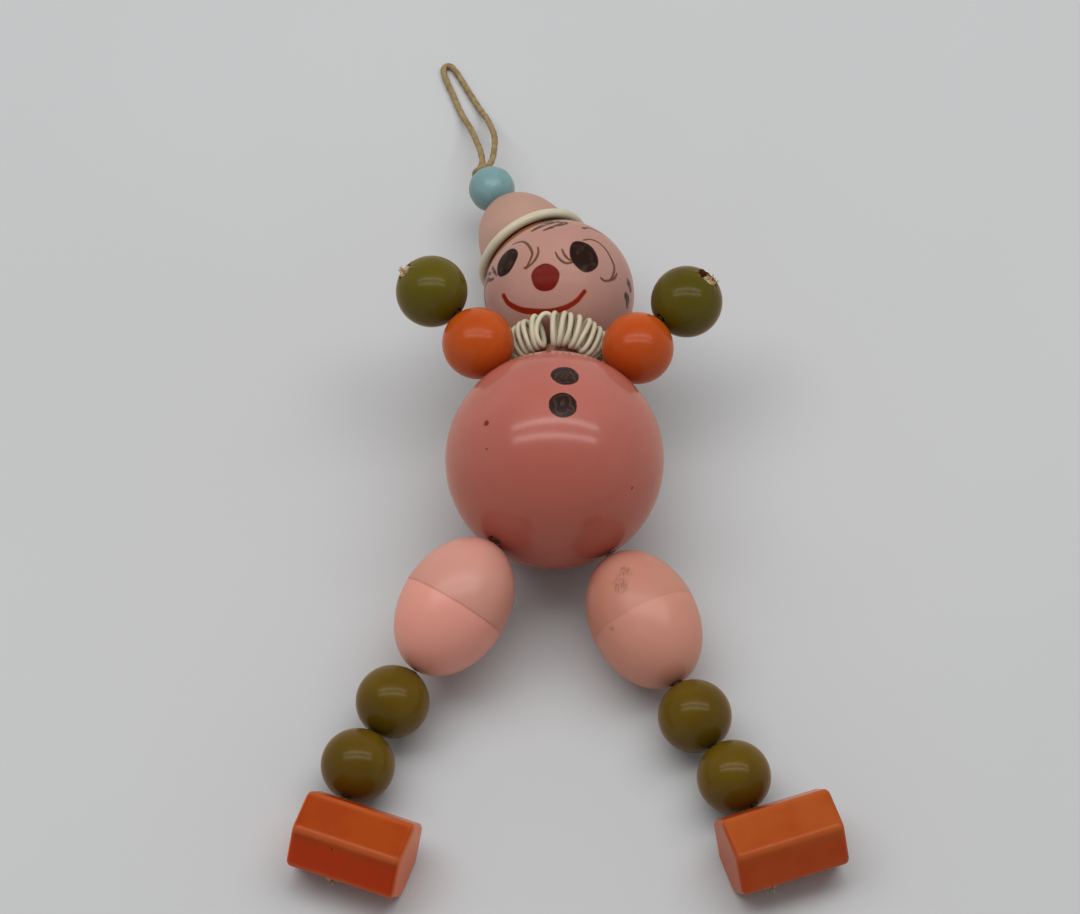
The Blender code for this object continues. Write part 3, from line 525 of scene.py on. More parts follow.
def ovalMask(spots, place, half, lean):
    depth = np.sqrt((head["radius"] / mm) ** 2 - place[0] ** 2 - place[1] ** 2)
    out = unit((*place, depth))
    across = unit(np.cross((0.0, 1.0, 0.0), out))
    rise = np.cross(out, across)
    turn = np.radians(lean)
    offset = spots - np.array((*place, depth))
    x = offset @ (np.cos(turn) * across + np.sin(turn) * rise) / half[0]
    y = offset @ (np.cos(turn) * rise - np.sin(turn) * across) / half[1]
    soft = head["edge"] / half[0]
    angle = np.arctan2(y, x)
    waves = np.sin(3 * angle + lean) + np.sin(5 * angle + 2 * lean)  # hand-painted rim
    wave = face["ragged"] * waves / half[0]
    return np.clip((1 + wave + soft / 2 - np.hypot(x, y)) / soft, 0, 1) * (spots @ out > 0)


def facePaint(points):
    # Channels: dark eyes, red nose and mouth, thin brown lines, grey-brown hair
    spots = (points - headCentre) @ np.stack(faceAxes(), 1) / mm
    paint = np.zeros((len(points), 4), np.float32)
    for place, half, lean in face["eyes"]:
        paint[:, 0] = np.maximum(paint[:, 0], ovalMask(spots, place, half, lean))
    place, radius = face["nose"]
    paint[:, 1] = np.maximum(ovalMask(spots, place, (radius, radius), 0.0), strokeMask(spots, *face["smile"]))
    for line in face["lines"]:
        paint[:, 2] = np.maximum(paint[:, 2], strokeMask(spots, line, face["lineWidth"]))
    for line, widths in face["hairs"]:
        paint[:, 3] = np.maximum(paint[:, 3], strokeMask(spots, line, widths))
    return paint


def faceMarks(tree, place, colour, rough):
    paint = tree.add("ShaderNodeAttribute", {"attribute_name": "facePaint"})
    hair = Wire(tree.nodes, paint.socket.node.outputs["Alpha"])
    split = tree.add("ShaderNodeSeparateColor", {}, {0: paint})
    dark, red, line = (Wire(tree.nodes, split.socket.node.outputs[i]) for i in range(3))
    brush = place.noise(face["brush"], 4.0)
    rise = place.along(hatAxis) - float(headCentre @ hatAxis)
    contact = head["radius"] * np.sqrt(1 - (brimShade["ring"] / brimShade["reach"]) ** 2)
    above = rise - float(contact)
    band = above.step(*brimShade["lower"]) * (1.0 - above.step(*brimShade["upper"]))
    across = place.along((1.0, 0.0, 0.0)).step(*brimShade["turn"])
    shade = blend(tree, brimShade["warm"], brimShade["dark"], across)
    colour = colour.over(shade, band * brimShade["share"])
    colour = colour.over(face["hair"], hair * brush.step(0.2, 0.5) * face["cover"])
    colour = colour.over(face["line"], line * face["cover"])
    colour = colour.over(blend(tree, face["dark"], face["darkStreak"], brush.step(0.5, 0.75)), dark)
    (x, y), wide = face["nose"]
    depth = np.sqrt((head["radius"] / mm) ** 2 - x * x - y * y)
    tip = headCentre + np.array((x, y, depth)) @ np.stack(faceAxes()) * mm
    nose = 1.0 - place.away(tip).step(*((wide + edge) * mm for edge in face["noseEdge"]))
    deep = nose * face["noseShare"] + brush.step(0.5, 0.8) * (1.0 - face["noseShare"])
    colour = colour.over(blend(tree, face["red"], face["redDeep"], deep), red)
    return colour, rough + (dark + red) * face["dull"]


def makeHead():
    reach = np.radians(head["fineReach"])
    fine = np.linspace(0, reach, head["fineRows"] + 1)[1:]
    coarse = np.linspace(reach, np.pi, head["coarseRows"] + 2)[1:-1]
    polar = np.concatenate((fine, coarse))
    grid, ends = ballGrid(head["radius"], polar, head["columns"], headCentre, faceAxes()[2])
    skin = shell(grid, ends)
    thing = piece("headSkin", [skin], "head", finish("headPink", head, faceMarks), ["head_ball"])
    layer = thing.data.attributes.new("facePaint", "FLOAT_COLOR", "POINT")
    layer.data.foreach_set("color", facePaint(skin[0]).ravel())


makeHead()
print("head painted")


# Hat, its ring and the top bead
hat = {"radius": 11.0 * mm, "height": 16.1 * mm, "wall": 1.6 * mm, "hole": 2.2 * mm, "steps": 120,
       "seat": 0.3 * mm, "colour": (0.48, 0.288, 0.222), "tone": (0.44, 0.25, 0.185), "cloud": 60.0,
       "grain": 1200.0, "rough": 0.36, "wear": 0.12, "bump": 0.04}
ringLook = {"tube": 1.12 * mm, "steps": 160, "around": 28,
            "colour": (0.63, 0.585, 0.44), "tone": (0.57, 0.51, 0.36), "cloud": 120.0, "grain": 1500.0,
            "rough": 0.30, "wear": 0.12, "bump": 0.03}
topBead = {"radius": 5.3 * mm, "half": 4.8 * mm, "bore": 2.2 * mm, "steps": 96, "flats": 10,
           "flatness": 0.018, "colour": (0.205, 0.365, 0.38), "tone": (0.17, 0.305, 0.32), "cloud": 160.0,
           "grain": 1500.0, "rough": 0.30, "wear": 0.12, "bump": 0.05}
creamFinish = finish("creamPlastic", ringLook)


def shellProfile(radius, height, wall, hole, count=40):
    # Half egg: outer ellipse quarter down to the edge, inner one back up
    outer = arc(radius, height, np.arcsin(hole / radius), np.pi / 2, count)
    inner = arc(radius - wall, height - wall, np.arcsin(hole / (radius - wall)), np.pi / 2, count)
    return outer, inner[::-1]


def makeHat():
    brim = np.sqrt((head["radius"] + hat["seat"]) ** 2 - (hat["radius"] - hat["wall"]) ** 2)
    profile = np.vstack(shellProfile(hat["radius"], hat["height"], hat["wall"], hat["hole"]))
    skin = turned(profile, hat["steps"], headCentre + hatAxis * brim, hatAxis)
    piece("hatShell", [skin], "hat", finish("hatPink", hat), ["hat_shell"])
    tube = ringLook["tube"]
    ringRadius = hat["radius"] + hat["seat"] + tube
    height = np.sqrt((head["radius"] + hat["seat"] + tube) ** 2 - ringRadius ** 2)
    loopAngle = np.linspace(0, fullTurn, ringLook["around"], endpoint=False)
    section = np.stack((ringRadius + tube * np.sin(loopAngle), tube * np.cos(loopAngle)), 1)
    skin = turned(section, ringLook["steps"], headCentre + hatAxis * height, hatAxis)
    piece("hatRing", [skin], "hat", creamFinish, ["hat_ring"])


def makeTopBead():
    centre = loopExit - hatAxis * topBead["half"]
    points, faces = turned(boredProfile(topBead, 40, 6), topBead["steps"], centre, hatAxis)
    side, lift, axis = basis(hatAxis)
    offset = points - centre
    turn = np.arctan2(offset @ lift, offset @ side)
    cut = 1 - topBead["flatness"] * (0.5 - 0.5 * np.cos(topBead["flats"] * turn))
    run = (offset @ axis)[:, None] * axis
    points = centre + run + (offset - run) * cut[:, None]
    material = finish("turquoisePlastic", topBead)
    piece("topBead", [(points, faces)], "hat_top", material, ["top_bead"])


makeHat()
makeTopBead()
print("hat made")


# Neck bead and the coil ruff, more curls in the same space as the CAD coil
neck = {"radius": 5.8 * mm, "half": 3.8 * mm, "bore": 2.2 * mm, "reach": 28.1 * mm, "steps": 72,
        "colour": (0.45, 0.215, 0.135), "tone": (0.38, 0.16, 0.09), "cloud": 150.0,
        "rough": 0.36, "wear": 0.1, "bump": 0.04}
ruff = {"curls": 33, "tube": 0.6 * mm, "ring": 9.3 * mm, "rise": 30.6 * mm, "longHalf": 3.6 * mm,
        "wideHalf": 1.7 * mm, "lean": 25.0, "perCurl": 32, "around": 12, "opening": 10.0, "sway": 0.030,
        "nod": 0.25 * mm, "turned": ((15.0, 1.1), (23.6, 1.1)),  # curl number, angle
        "turnWide": 0.45, "push": 0.07, "pushEdge": 0.5, "pushReach": 3.0}


def makeNeck():
    centre = bodyCentre + neckAxis * neck["reach"]
    skin = turned(boredProfile(neck, 30, 5), neck["steps"], centre, neckAxis)
    piece("neckBead", [skin], "torso", finish("neckTan", neck), ["neck_bead"])


def makeRuff():
    # A coil bent into a ring: oval curl (l cos t, w sin t) leaning outwards, carried round the neck with t
    t = np.linspace(0, fullTurn * ruff["curls"], ruff["curls"] * ruff["perCurl"])
    lean = np.radians(ruff["lean"])
    drift = np.sin(2.3 * t / fullTurn) + 0.7 * np.sin(5.1 * t / fullTurn + 1.0)  # uneven hand-wound curls
    twist, push = np.zeros(len(t)), np.zeros(len(t))
    for number, most in ruff["turned"]:  # a curl turned to the front shoves its neighbours apart
        away = t / fullTurn - number
        twist += most * np.exp(-(away / ruff["turnWide"]) ** 2)
        push += ruff["push"] * np.tanh(away / ruff["pushEdge"]) * np.exp(-np.abs(away) / ruff["pushReach"])
    long, wide = ruff["longHalf"] * np.cos(t), ruff["wideHalf"] * np.sin(t)
    radius = ruff["ring"] + long * np.sin(lean) - wide * np.cos(lean) * np.cos(twist)
    height = ruff["rise"] + long * np.cos(lean) + wide * np.sin(lean) + 0.5 * ruff["nod"] * (drift - 1.0)
    gap = np.radians(ruff["opening"])
    around = np.pi / 2 + gap / 2 + (fullTurn - gap) * t / t[-1] + ruff["sway"] * drift * np.cos(t)
    around += push + wide * np.sin(twist) / radius
    side, lift, axis = basis(neckAxis)
    # the CAD coil's angle starts at the level side and turns towards the front
    path = bodyCentre + height[:, None] * axis + radius[:, None] * (
        np.cos(around)[:, None] * side - np.sin(around)[:, None] * lift)
    plain = dict(twine, around=ruff["around"], groove=0.0)
    piece("ruffCoil", [rope(path, ruff["tube"], plain)], "ruff", creamFinish, ["ruff_coil"])


makeNeck()
makeRuff()
print("ruff wound")


# Limb beads, thigh eggs and feet
bead = {"radius": 8.0 * mm, "bore": 0.85 * mm, "mouth": 0.95 * mm, "mouthDepth": 0.4 * mm, "steps": 96}
hand = {"heading": {"right": -67.7, "left": 57.3}, "pitch": {"right": 34.4, "left": 43.7},
        "mouth": {"right": 1.9 * mm, "left": 2.6 * mm}, "pocket": 3.6 * mm, "boreDepth": 3.0 * mm,
        "chip": 0.25 * mm, "chipReach": 0.35 * mm, "rimShare": (0.95, 0.99), "dull": 0.4,
        "colour": {"right": (0.112, 0.088, 0.006), "left": (0.094, 0.073, 0.005)},
        "tone": {"right": (0.094, 0.073, 0.005), "left": (0.080, 0.061, 0.004)},
        "inside": (0.19, 0.058, 0.015),
        "floor": ((0.4, 0.0), (0.8, 0.0), (1.0, 0.08), (1.0, 0.5), (1.0, 0.9))}  # shares of mouth and pocket
olive = {"colour": (0.124, 0.074, 0.004), "tone": (0.102, 0.059, 0.004), "cloud": 90.0,
         "rough": 0.2, "ior": 1.32}
orange = {"colour": (0.50, 0.080, 0.007), "tone": (0.45, 0.064, 0.006), "cloud": 90.0,
          "rough": 0.22, "ior": 1.4, "shine": 0.45}
egg = {"radius": 11.8 * mm, "length": 32.2 * mm, "wall": 1.6 * mm, "hole": 1.5 * mm, "seat": 0.15 * mm,
       "spigot": 0.6 * mm, "spigotLength": 1.6 * mm, "steps": 120,
       "cloud": 45.0, "grain": 1300.0, "rough": 0.30, "wear": 0.06}
seams = {"right": (0.002 * mm, 0.06 * mm), "left": (0.001 * mm, 0.02 * mm)}  # half gap and step at each seam
seamGrime = {"colour": (0.40, 0.15, 0.095), "share": {"right": 0.3, "left": 0.12}, "wide": 0.5 * mm}
kneeTonesWithPaintedLight = {"right": ((0.79, 0.345, 0.27), (0.75, 0.31, 0.24)),  # colour and tone; the knee halves are paler than the hip halves, partly their own pinker colour and partly painted light against the shade they sit in
             "left": ((0.635, 0.288, 0.21), (0.595, 0.252, 0.18))}
hipTones = {"right": ((0.62, 0.29, 0.23), (0.59, 0.265, 0.20)),
            "left": ((0.565, 0.25, 0.185), (0.53, 0.22, 0.155))}
smudges = {"spots": (((-4.6, 5.3, 11.2), 2.3 * mm), ((-5.3, 2.2, 11.2), 2.5 * mm),
                     ((-7.1, -6.5, 6.9), 1.1 * mm)),
           "colour": (0.16, 0.072, 0.038), "ragged": 3.0 * mm, "wobble": 700.0, "share": 0.45, "haze": 0.12,
           "stretch": (3.2, 0.9, 0.9), "scratch": 800.0, "scratchEdges": (0.40, 0.62)}
foot = {"flat": 8.3 * mm, "length": 24.4 * mm, "corner": 1.7 * mm, "edge": 1.2 * mm, "hole": 1.2 * mm,
        "pocket": 2.1 * mm, "around": 180, "rows": 84, "edgeRows": 8, "capRows": 10,
        "heading": {"right": 189.0, "left": 170.7}, "pitch": -14.0,  # the sloping cord hole
        "colour": {"right": (0.37, 0.053, 0.002), "left": (0.40, 0.076, 0.011)},
        "tone": {"right": (0.33, 0.041, 0.002), "left": (0.37, 0.060, 0.006)},
        # the end colours are painted reflection, the ridge colour is painted highlight
        "end": {"right": (0.70, 0.13, 0.025), "left": (0.40, 0.058, 0.010)}, "ridge": (0.62, 0.16, 0.05),
        "endShare": 0.8, "ridgeWide": 0.2 * mm, "ridgeShare": {"right": 0.35, "left": 0.15},
        "low": (0.47, 0.034, 0.001), "lowEdge": (13.5 * mm, 16.2 * mm),
        "lowShare": {"right": 0.9, "left": 0.4}, "cloud": 110.0, "grain": 1300.0,
        "speck": (-4.5, -4.5, 6.5), "speckSize": 0.28 * mm, "speckColour": (0.06, 0.006, 0.003),
        "speckWobble": 900.0, "speckRagged": 0.8 * mm, "speckShare": {"right": 1.0, "left": 0.0},
        "rough": 0.2, "wear": 0.04, "bump": 0.008, "ior": 1.3, "shine": 0.45}
oliveFinish = finish("olivePlastic", olive)
orangeFinish = finish("orangePlastic", orange)


def beadProfile():
    # Round bead: outer arc from mouth to mouth, countersink, bore
    first = np.arcsin(bead["mouth"] / bead["radius"])
    end = bead["radius"] * np.cos(first) - bead["mouthDepth"]
    outer = arc(bead["radius"], bead["radius"], first, np.pi - first, 56)
    return np.vstack((outer, (bead["bore"], -end), (bead["bore"], 0.0), (bead["bore"], end)))


def makeBead(node, axis, body, material):
    skin = turned(beadProfile(), bead["steps"], middle(node), axis)
    piece(nameOf(node), [skin], body, material, [node])


def pocketAxis(side):
    return headed(hand["heading"][side], hand["pitch"][side])


def makeHand(side):
    # Rings from the pocket's floor up its wall, over the chipped rim and round the ball to the far pole
    node = f"{side}_hand_bead"
    centre = middle(node)
    mouth = hand["mouth"][side]
    first = np.arcsin(mouth / bead["radius"])
    rim = bead["radius"] * np.cos(first)
    floor = np.array(hand["floor"]) * (mouth, hand["pocket"]) + (0.0, rim - hand["pocket"])
    profile = np.vstack((floor, arc(bead["radius"], bead["radius"], first, np.pi, 70)[:-1]))
    way, lift, axis = basis(pocketAxis(side))
    ring = ringWays(way, lift, bead["steps"])
    angle = np.linspace(0, fullTurn, bead["steps"], endpoint=False)
    chip = hand["chip"] * (np.sin(3 * angle + 1) * np.sin(7 * angle) + 0.6 * np.sin(13 * angle))
    near = np.exp(-((profile[:, 1] - rim) / hand["chipReach"]) ** 2)
    radius = profile[:, :1] + near[:, None] * chip
    grid = centre + profile[:, 1][:, None, None] * axis + radius[..., None] * ring
    grid = drilled(grid, centre, pivot(f"{side}_elbow_bend") - centre, bead["bore"], hand["boreDepth"])

    def pocketMarks(tree, place, colour, rough):
        inside = 1.0 - place.away(centre).step(*(bead["radius"] * share for share in hand["rimShare"]))
        return colour.over(hand["inside"], inside), rough + inside * hand["dull"]

    poles = centre + np.stack((axis * (rim - hand["pocket"]), -axis * bead["radius"]))
    look = dict(olive, colour=hand["colour"][side], tone=hand["tone"][side])
    material = finish(f"{side}HandOlive", look, pocketMarks)
    piece(f"{side}Hand", [shell(grid, poles)], f"{side}_hand", material, [node])


def makeArms():
    for side in bothSides:
        along = pivot(f"{side}_elbow_bend") - pivot(f"{side}_shoulder_swing")
        makeBead(f"{side}_arm_bead", along, f"{side}_upper_arm", orangeFinish)
        makeHand(side)


def eggProfile(lip, seam, step):
    half = egg["length"] / 2 / np.cos(np.arcsin(egg["hole"] / egg["radius"])) - seam
    outer, inner = shellProfile(egg["radius"], half, egg["wall"], egg["hole"], 48)
    inside = egg["radius"] - egg["wall"]
    if lip == "spigot":
        reach = inside + egg["spigot"]
        joint = np.array(((reach, 0), (reach, -egg["spigotLength"]), (inside, -egg["spigotLength"])))
    else:
        outer[:, 0] -= step * (outer[:, 0] / egg["radius"]) ** 12  # a small step down at the seam
        reach = inside + egg["spigot"] + 2 * egg["seat"]
        depth = egg["spigotLength"] + 2 * egg["seat"]
        joint = np.array(((reach, 0), (reach, depth)))
        inner = inner[inner[:, 1] > depth + 2 * egg["seat"]]
    return np.vstack((outer, joint, inner))


def makeThighs():
    for side in bothSides:
        hip, knee = pivot(f"{side}_hip_swing"), pivot(f"{side}_knee_bend")
        axis = unit(knee - hip)
        centre = (hip + knee) / 2

        def smudgeMarks(tree, place, colour, rough):
            away = tree.maths("ABSOLUTE", place.along(axis) - float(centre @ axis))
            grime = (1.0 - away.step(0.0, seamGrime["wide"])) * seamGrime["share"][side]
            colour = colour.over(seamGrime["colour"], grime)
            if side == "right":
                return colour, rough
            ragged = (place.noise(smudges["wobble"], 3.0) - 0.5) * smudges["ragged"]
            grained = place.vector("MULTIPLY", smudges["stretch"]).noise(smudges["scratch"])
            dirt = grained.step(*smudges["scratchEdges"]) * smudges["share"] + smudges["haze"]
            for spot, size in smudges["spots"]:
                near = place.away(centre + np.array(spot) * mm) + ragged
                colour = colour.over(smudges["colour"], (1.0 - near.step(size * 0.3, size)) * dirt)
            return colour, rough

        # knee halves take paler tones: partly their own colour, partly painted light
        for part, lip, way, tones in (("hip", "spigot", -1, hipTones), ("knee", "socket", 1, kneeTonesWithPaintedLight)):
            look = dict(egg, colour=tones[side][0], tone=tones[side][1])
            node = f"{side}_thigh_{part}_shell"
            start = centre + axis * way * seams[side][0]
            skin = turned(eggProfile(lip, *seams[side]), egg["steps"], start, axis * way)
            material = finish(f"{side}{part.title()}Egg", look, smudgeMarks)
            piece(f"{side}{part.title()}Egg", [skin], f"{side}_thigh", material, [node])


def makeLegBeads():
    for side in bothSides:
        knee, shin, ankle = (pivot(f"{side}_{name}") for name in ("knee_bend", "shin_bend", "ankle_turn"))
        makeBead(f"{side}_upper_leg_bead", shin - knee, f"{side}_upper_leg", oliveFinish)
        makeBead(f"{side}_lower_leg_bead", ankle - shin, f"{side}_lower_leg", oliveFinish)


def sixSided(flat, corner, count):
    # Rounded hexagon with flats above and below: arcs about a smaller hexagon's corners, points evenly spaced
    inner = (flat - corner) * 2 / np.sqrt(3)
    turn = np.radians(np.arange(6) * 60)[:, None]
    sweep = turn + np.radians(np.linspace(-30, 30, 9))[None]
    x = (inner * np.cos(turn) + corner * np.cos(sweep)).ravel()
    y = (inner * np.sin(turn) + corner * np.sin(sweep)).ravel()
    x, y = np.append(x, x[0]), np.append(y, y[0])
    run = np.concatenate(([0], np.cumsum(np.hypot(np.diff(x), np.diff(y)))))
    want = np.linspace(0, run[-1], count, endpoint=False)
    return np.stack((np.interp(want, run, x), np.interp(want, run, y)), 1)


def footHole(side):
    # Way of the cord's hole, and where it leaves the lower front face
    ankle = pivot(f"{side}_ankle_turn")
    way = headed(foot["heading"][side], foot["pitch"])
    out = np.array(joints[f"{side}_ankle_turn"]["axis"]) * np.cos(np.pi / 6) - up * np.sin(np.pi / 6)
    run = (foot["flat"] + (middle(f"{side}_foot") - ankle) @ out) / (way @ out)
    return ankle, way, ankle + way * run


def makeFeet():
    for side in bothSides:
        ankle, way, front = footHole(side)
        axis = np.array(joints[f"{side}_ankle_turn"]["axis"])
        toe = np.array((-axis[1], axis[0], 0.0))
        centre = middle(f"{side}_foot")
        outline = sixSided(foot["flat"], foot["corner"], foot["around"])
        curve = np.linspace(0, np.pi / 2, foot["edgeRows"])
        half, edge = foot["length"] / 2, foot["edge"]
        inset = edge * (1 - np.sin(curve))  # rounded end edges: inset e(1 - sin b) at length h - e(1 - cos b)
        ends = half - edge + edge * np.cos(curve)
        run = np.linspace(half - edge, edge - half, foot["rows"])[1:-1]
        tip = np.full(foot["capRows"], half)
        lengths = np.concatenate((tip, ends, run, -ends[::-1], -tip))
        cap = np.linspace(0.08, 1, foot["capRows"], endpoint=False) * (1 - edge / foot["flat"])
        edgeScale = 1 - inset / foot["flat"]
        scale = np.concatenate((cap, edgeScale, np.ones(len(run)), edgeScale[::-1], cap[::-1]))
        grid = centre + lengths[:, None, None] * toe + scale[:, None, None] * (
            outline[:, :1] * np.cross(toe, up) + outline[:, 1:] * up)
        within = (ankle + front) / 2
        grid = drilled(grid, within, -way, foot["hole"], 3 * foot["hole"])
        grid = drilled(grid, within, way, foot["pocket"], 1.4 * foot["pocket"])
        poles = np.stack((centre + half * toe, centre - half * toe))

        def footMarks(tree, place, colour, rough):
            ridge = tree.add("ShaderNodeAttribute", {"attribute_name": "ridge"}, output="Fac")
            far = tree.maths("ABSOLUTE", place.along(toe) - float(centre @ toe))
            low = 1.0 - place.along(up).step(*foot["lowEdge"])
            colour = colour.over(foot["low"], low * foot["lowShare"][side])
            # painted reflection: the flat ends lighter and pinker than the rest
            end = far.step(half - 0.5 * edge, half - 0.1 * edge)
            colour = colour.over(foot["end"][side], end * foot["endShare"])
            # painted highlight: lighter colour along the rounded ridges
            colour = colour.over(foot["ridge"], ridge * foot["ridgeShare"][side])
            ragged = (place.noise(foot["speckWobble"]) - 0.5) * foot["speckRagged"]
            near = place.away(centre + np.array(foot["speck"]) * mm) + ragged
            speck = 1.0 - near.step(foot["speckSize"] * 0.6, foot["speckSize"])
            return colour.over(foot["speckColour"], speck * foot["speckShare"][side]), rough

        look = dict(foot, colour=foot["colour"][side], tone=foot["tone"][side])
        skin = shell(grid, poles)
        material = finish(f"{side}FootOrange", look, footMarks)
        stands = [f"{side}_foot"]
        thing = piece(f"{side}Foot", [skin], f"{side}_foot_part", material, stands, 60.0)
        corner = np.hypot(*outline.T).max() - np.hypot(*outline.T)  # how far inside the corners each point is
        # painted highlight along the ridges, strongest at the corners
        ridgeSheen = np.exp(-(corner / foot["ridgeWide"]) ** 2)
        layer = thing.data.attributes.new("ridge", "FLOAT", "POINT")
        ridges = np.tile(ridgeSheen, len(grid)) * np.repeat(scale > 0.9, len(ridgeSheen))  # not on the flat ends
        layer.data.foreach_set("value", np.append(ridges, (0, 0)))


makeArms()
makeThighs()
makeLegBeads()
makeFeet()
print("limbs strung")


# Cord inside the toy, and the knotted, frayed ends at hands and feet
knot = {"size": 1.25 * mm, "tube": 0.62 * mm, "points": 90, "fibres": 14, "fibre": 0.12 * mm,
        "fibreLength": 2.2 * mm, "spread": 0.9, "curl": 0.25, "shortest": 0.6, "footDepth": 0.4 * mm,
        "footPoints": 20, "bend": 2.5 * mm,
        "handReach": {"right": 7.2 * mm, "left": 6.5 * mm},  # from the bead's middle
        "handShift": {"right": (-0.2 * mm, 0.3 * mm, -0.7 * mm), "left": (0.9 * mm, -0.5 * mm, -0.45 * mm)},
        "colour": (0.56, 0.44, 0.27), "tone": (0.42, 0.29, 0.15), "cloud": 700.0, "grain": 3800.0,
        "rough": 0.7, "wear": 0.2, "bump": 0.6, "ior": 1.45}
inner = {"endGap": 0.2 * mm, "strand": 0.9 * mm, "points": 24, "hatPoints": 16, "wall": 1.8 * mm,
         "colour": (0.24, 0.12, 0.05), "tone": (0.15, 0.075, 0.032),
         "stained": (0.050, 0.028, 0.008)}  # painted shade: cord darkened where it shows between beads
knotFinish = finish("frayedTwine", knot)
# inner cord darker than the loop's twine: painted shade where it shows in the hip holes
innerFinish = finish("grimyTwine", dict(twine, colour=inner["colour"], tone=inner["tone"]))
# limb cords darkened as painted shade where they show between beads
limbShadeFinish = finish("stainedTwine", dict(twine, colour=inner["stained"], tone=inner["stained"]))


def knotSkins(centre, axis, seed):
    # Trefoil: (sin t + 2 sin 2t, cos t - 2 cos 2t, -sin 3t), then loose fibres fanning out ahead of it
    side, lift, axis = basis(axis)
    t = np.linspace(0, fullTurn, knot["points"])
    x, y, z = np.sin(t) + 2 * np.sin(2 * t), np.cos(t) - 2 * np.cos(2 * t), -np.sin(3 * t)
    scale = knot["size"] / 3
    path = centre + scale * (x[:, None] * side + y[:, None] * lift + 1.2 * z[:, None] * axis)
    skins = [rope(path, knot["tube"], twine)]
    chance = np.random.default_rng(seed)
    for _ in range(knot["fibres"]):
        across, rise = chance.uniform(-knot["spread"], knot["spread"], 2)
        way = unit(axis + across * side + rise * lift)
        bend = unit(chance.normal(size=3)) * knot["curl"]
        s = np.linspace(0, 1, 8)[:, None]
        reach = knot["fibreLength"] * chance.uniform(knot["shortest"], 1.0)
        strand = centre + reach * (s * way + s * s * bend)
        thin = dict(twine, around=6, groove=0.0)
        skins.append(rope(strand, knot["fibre"], thin))
    return skins


def cordPiece(node, path, body):
    shows = body == "torso" or "thigh" in node  # the hips show a little cord
    material = innerFinish if shows else limbShadeFinish
    piece(nameOf(node), [rope(path, twine["radius"], twine)], body, material, [node])


def strung(node, start, end, body):
    way = unit(end - start) * inner["endGap"]
    cordPiece(node, straight(start + way, end - way, inner["points"]), body)


def swing(start, startAxis, end, endAxis):
    # Bezier bend that runs along an outward axis at each end
    pull = np.linalg.norm(end - start) / 3
    s = np.linspace(0, 1, inner["points"])[:, None]
    a, b = start - startAxis * pull, end - endAxis * pull
    return (1 - s) ** 3 * start + 3 * s * (1 - s) ** 2 * a + 3 * s * s * (1 - s) * b + s ** 3 * end


def makeInnerCords():
    level = unit((neckAxis[1], -neckAxis[0], 0.0))
    top = bodyCentre + neckAxis * (body["radius"] + 2 * neck["half"])
    mouth = bodyCentre + neckAxis * (body["radius"] - inner["wall"] - 2 * twine["radius"])
    deep = body["radius"] - inner["wall"] - 4 * twine["radius"]
    for side, sign in (("right", -1), ("left", 1)):
        shift = level * sign * inner["strand"]
        out = unit(hips[side])
        bend = swing(mouth + shift, neckAxis, bodyCentre + out * deep, out)
        path = np.vstack((top + shift, bend, bodyCentre + out * body["radius"]))
        cordPiece(f"{side}_body_cord", path, "torso")
        span = neckAxis * head["radius"]
        path = straight(headCentre - span + shift, headCentre + span + shift, inner["points"])
        cordPiece(f"{side}_head_cord", path, "head")
        node = f"{side}_hat_cord"
        centre = middle(node)
        half = hatAxis * (pivot("top_bead_tilt") - centre) @ hatAxis
        end = centre + half - hatAxis * inner["endGap"]
        cordPiece(node, straight(centre - half, end, inner["hatPoints"]), "hat")
        for node, start, end, carrier in (("thigh_cord", "hip_swing", "knee_bend", "thigh"),
                                          ("upper_leg_cord", "knee_bend", "shin_bend", "upper_leg"),
                                          ("lower_leg_cord", "shin_bend", "ankle_turn", "lower_leg"),
                                          ("arm_bead_cord", "shoulder_swing", "elbow_bend", "upper_arm")):
            ends = pivot(f"{side}_{start}"), pivot(f"{side}_{end}")
            strung(f"{side}_{node}", *ends, f"{side}_{carrier}")
    right, left = unit(shoulders["right"]), unit(shoulders["left"])
    bend = swing(bodyCentre + right * deep, right, bodyCentre + left * deep, left)
    path = np.vstack((bodyCentre + right * body["radius"], bend, bodyCentre + left * body["radius"]))
    cordPiece("arm_cord", path, "torso")


def makeKnots():
    for seed, side in enumerate(bothSides):
        elbow, centre = pivot(f"{side}_elbow_bend"), middle(f"{side}_hand_bead")
        axis, out = unit(centre - elbow), pocketAxis(side)
        end = centre + out * knot["handReach"][side] + np.array(knot["handShift"][side])
        start = elbow + axis * inner["endGap"]
        corners = (start, centre - axis * knot["bend"], centre + out * knot["bend"], end)
        cordPiece(f"{side}_hand_cord", smoothRun(corners, 8), f"{side}_hand")
        piece(f"{side}HandKnot", knotSkins(end, out, seed), f"{side}_hand", knotFinish)
        ankle, way, front = footHole(side)
        end = front - way * knot["footDepth"]
        path = straight(ankle + way * inner["endGap"], end, knot["footPoints"])
        cordPiece(f"{side}_foot_cord", path, f"{side}_foot_part")
        piece(f"{side}FootKnot", knotSkins(end, way, seed + 2), f"{side}_foot_part", knotFinish)


makeInnerCords()
makeKnots()
print("cords threaded")


# Loose pellets stay as modelled, inside the closed ball
pellet = {"colour": (0.60, 0.56, 0.48), "tone": (0.5, 0.45, 0.36), "cloud": 200.0, "grain": 1500.0,
          "rough": 0.45, "wear": 0.1, "bump": 0.05}
pelletFinish = finish("pelletPlastic", pellet)
for name, node in frame["nodes"].items():
    if name.startswith("rattle_pellet"):
        node.data.materials.clear()
        node.data.materials.append(pelletFinish)


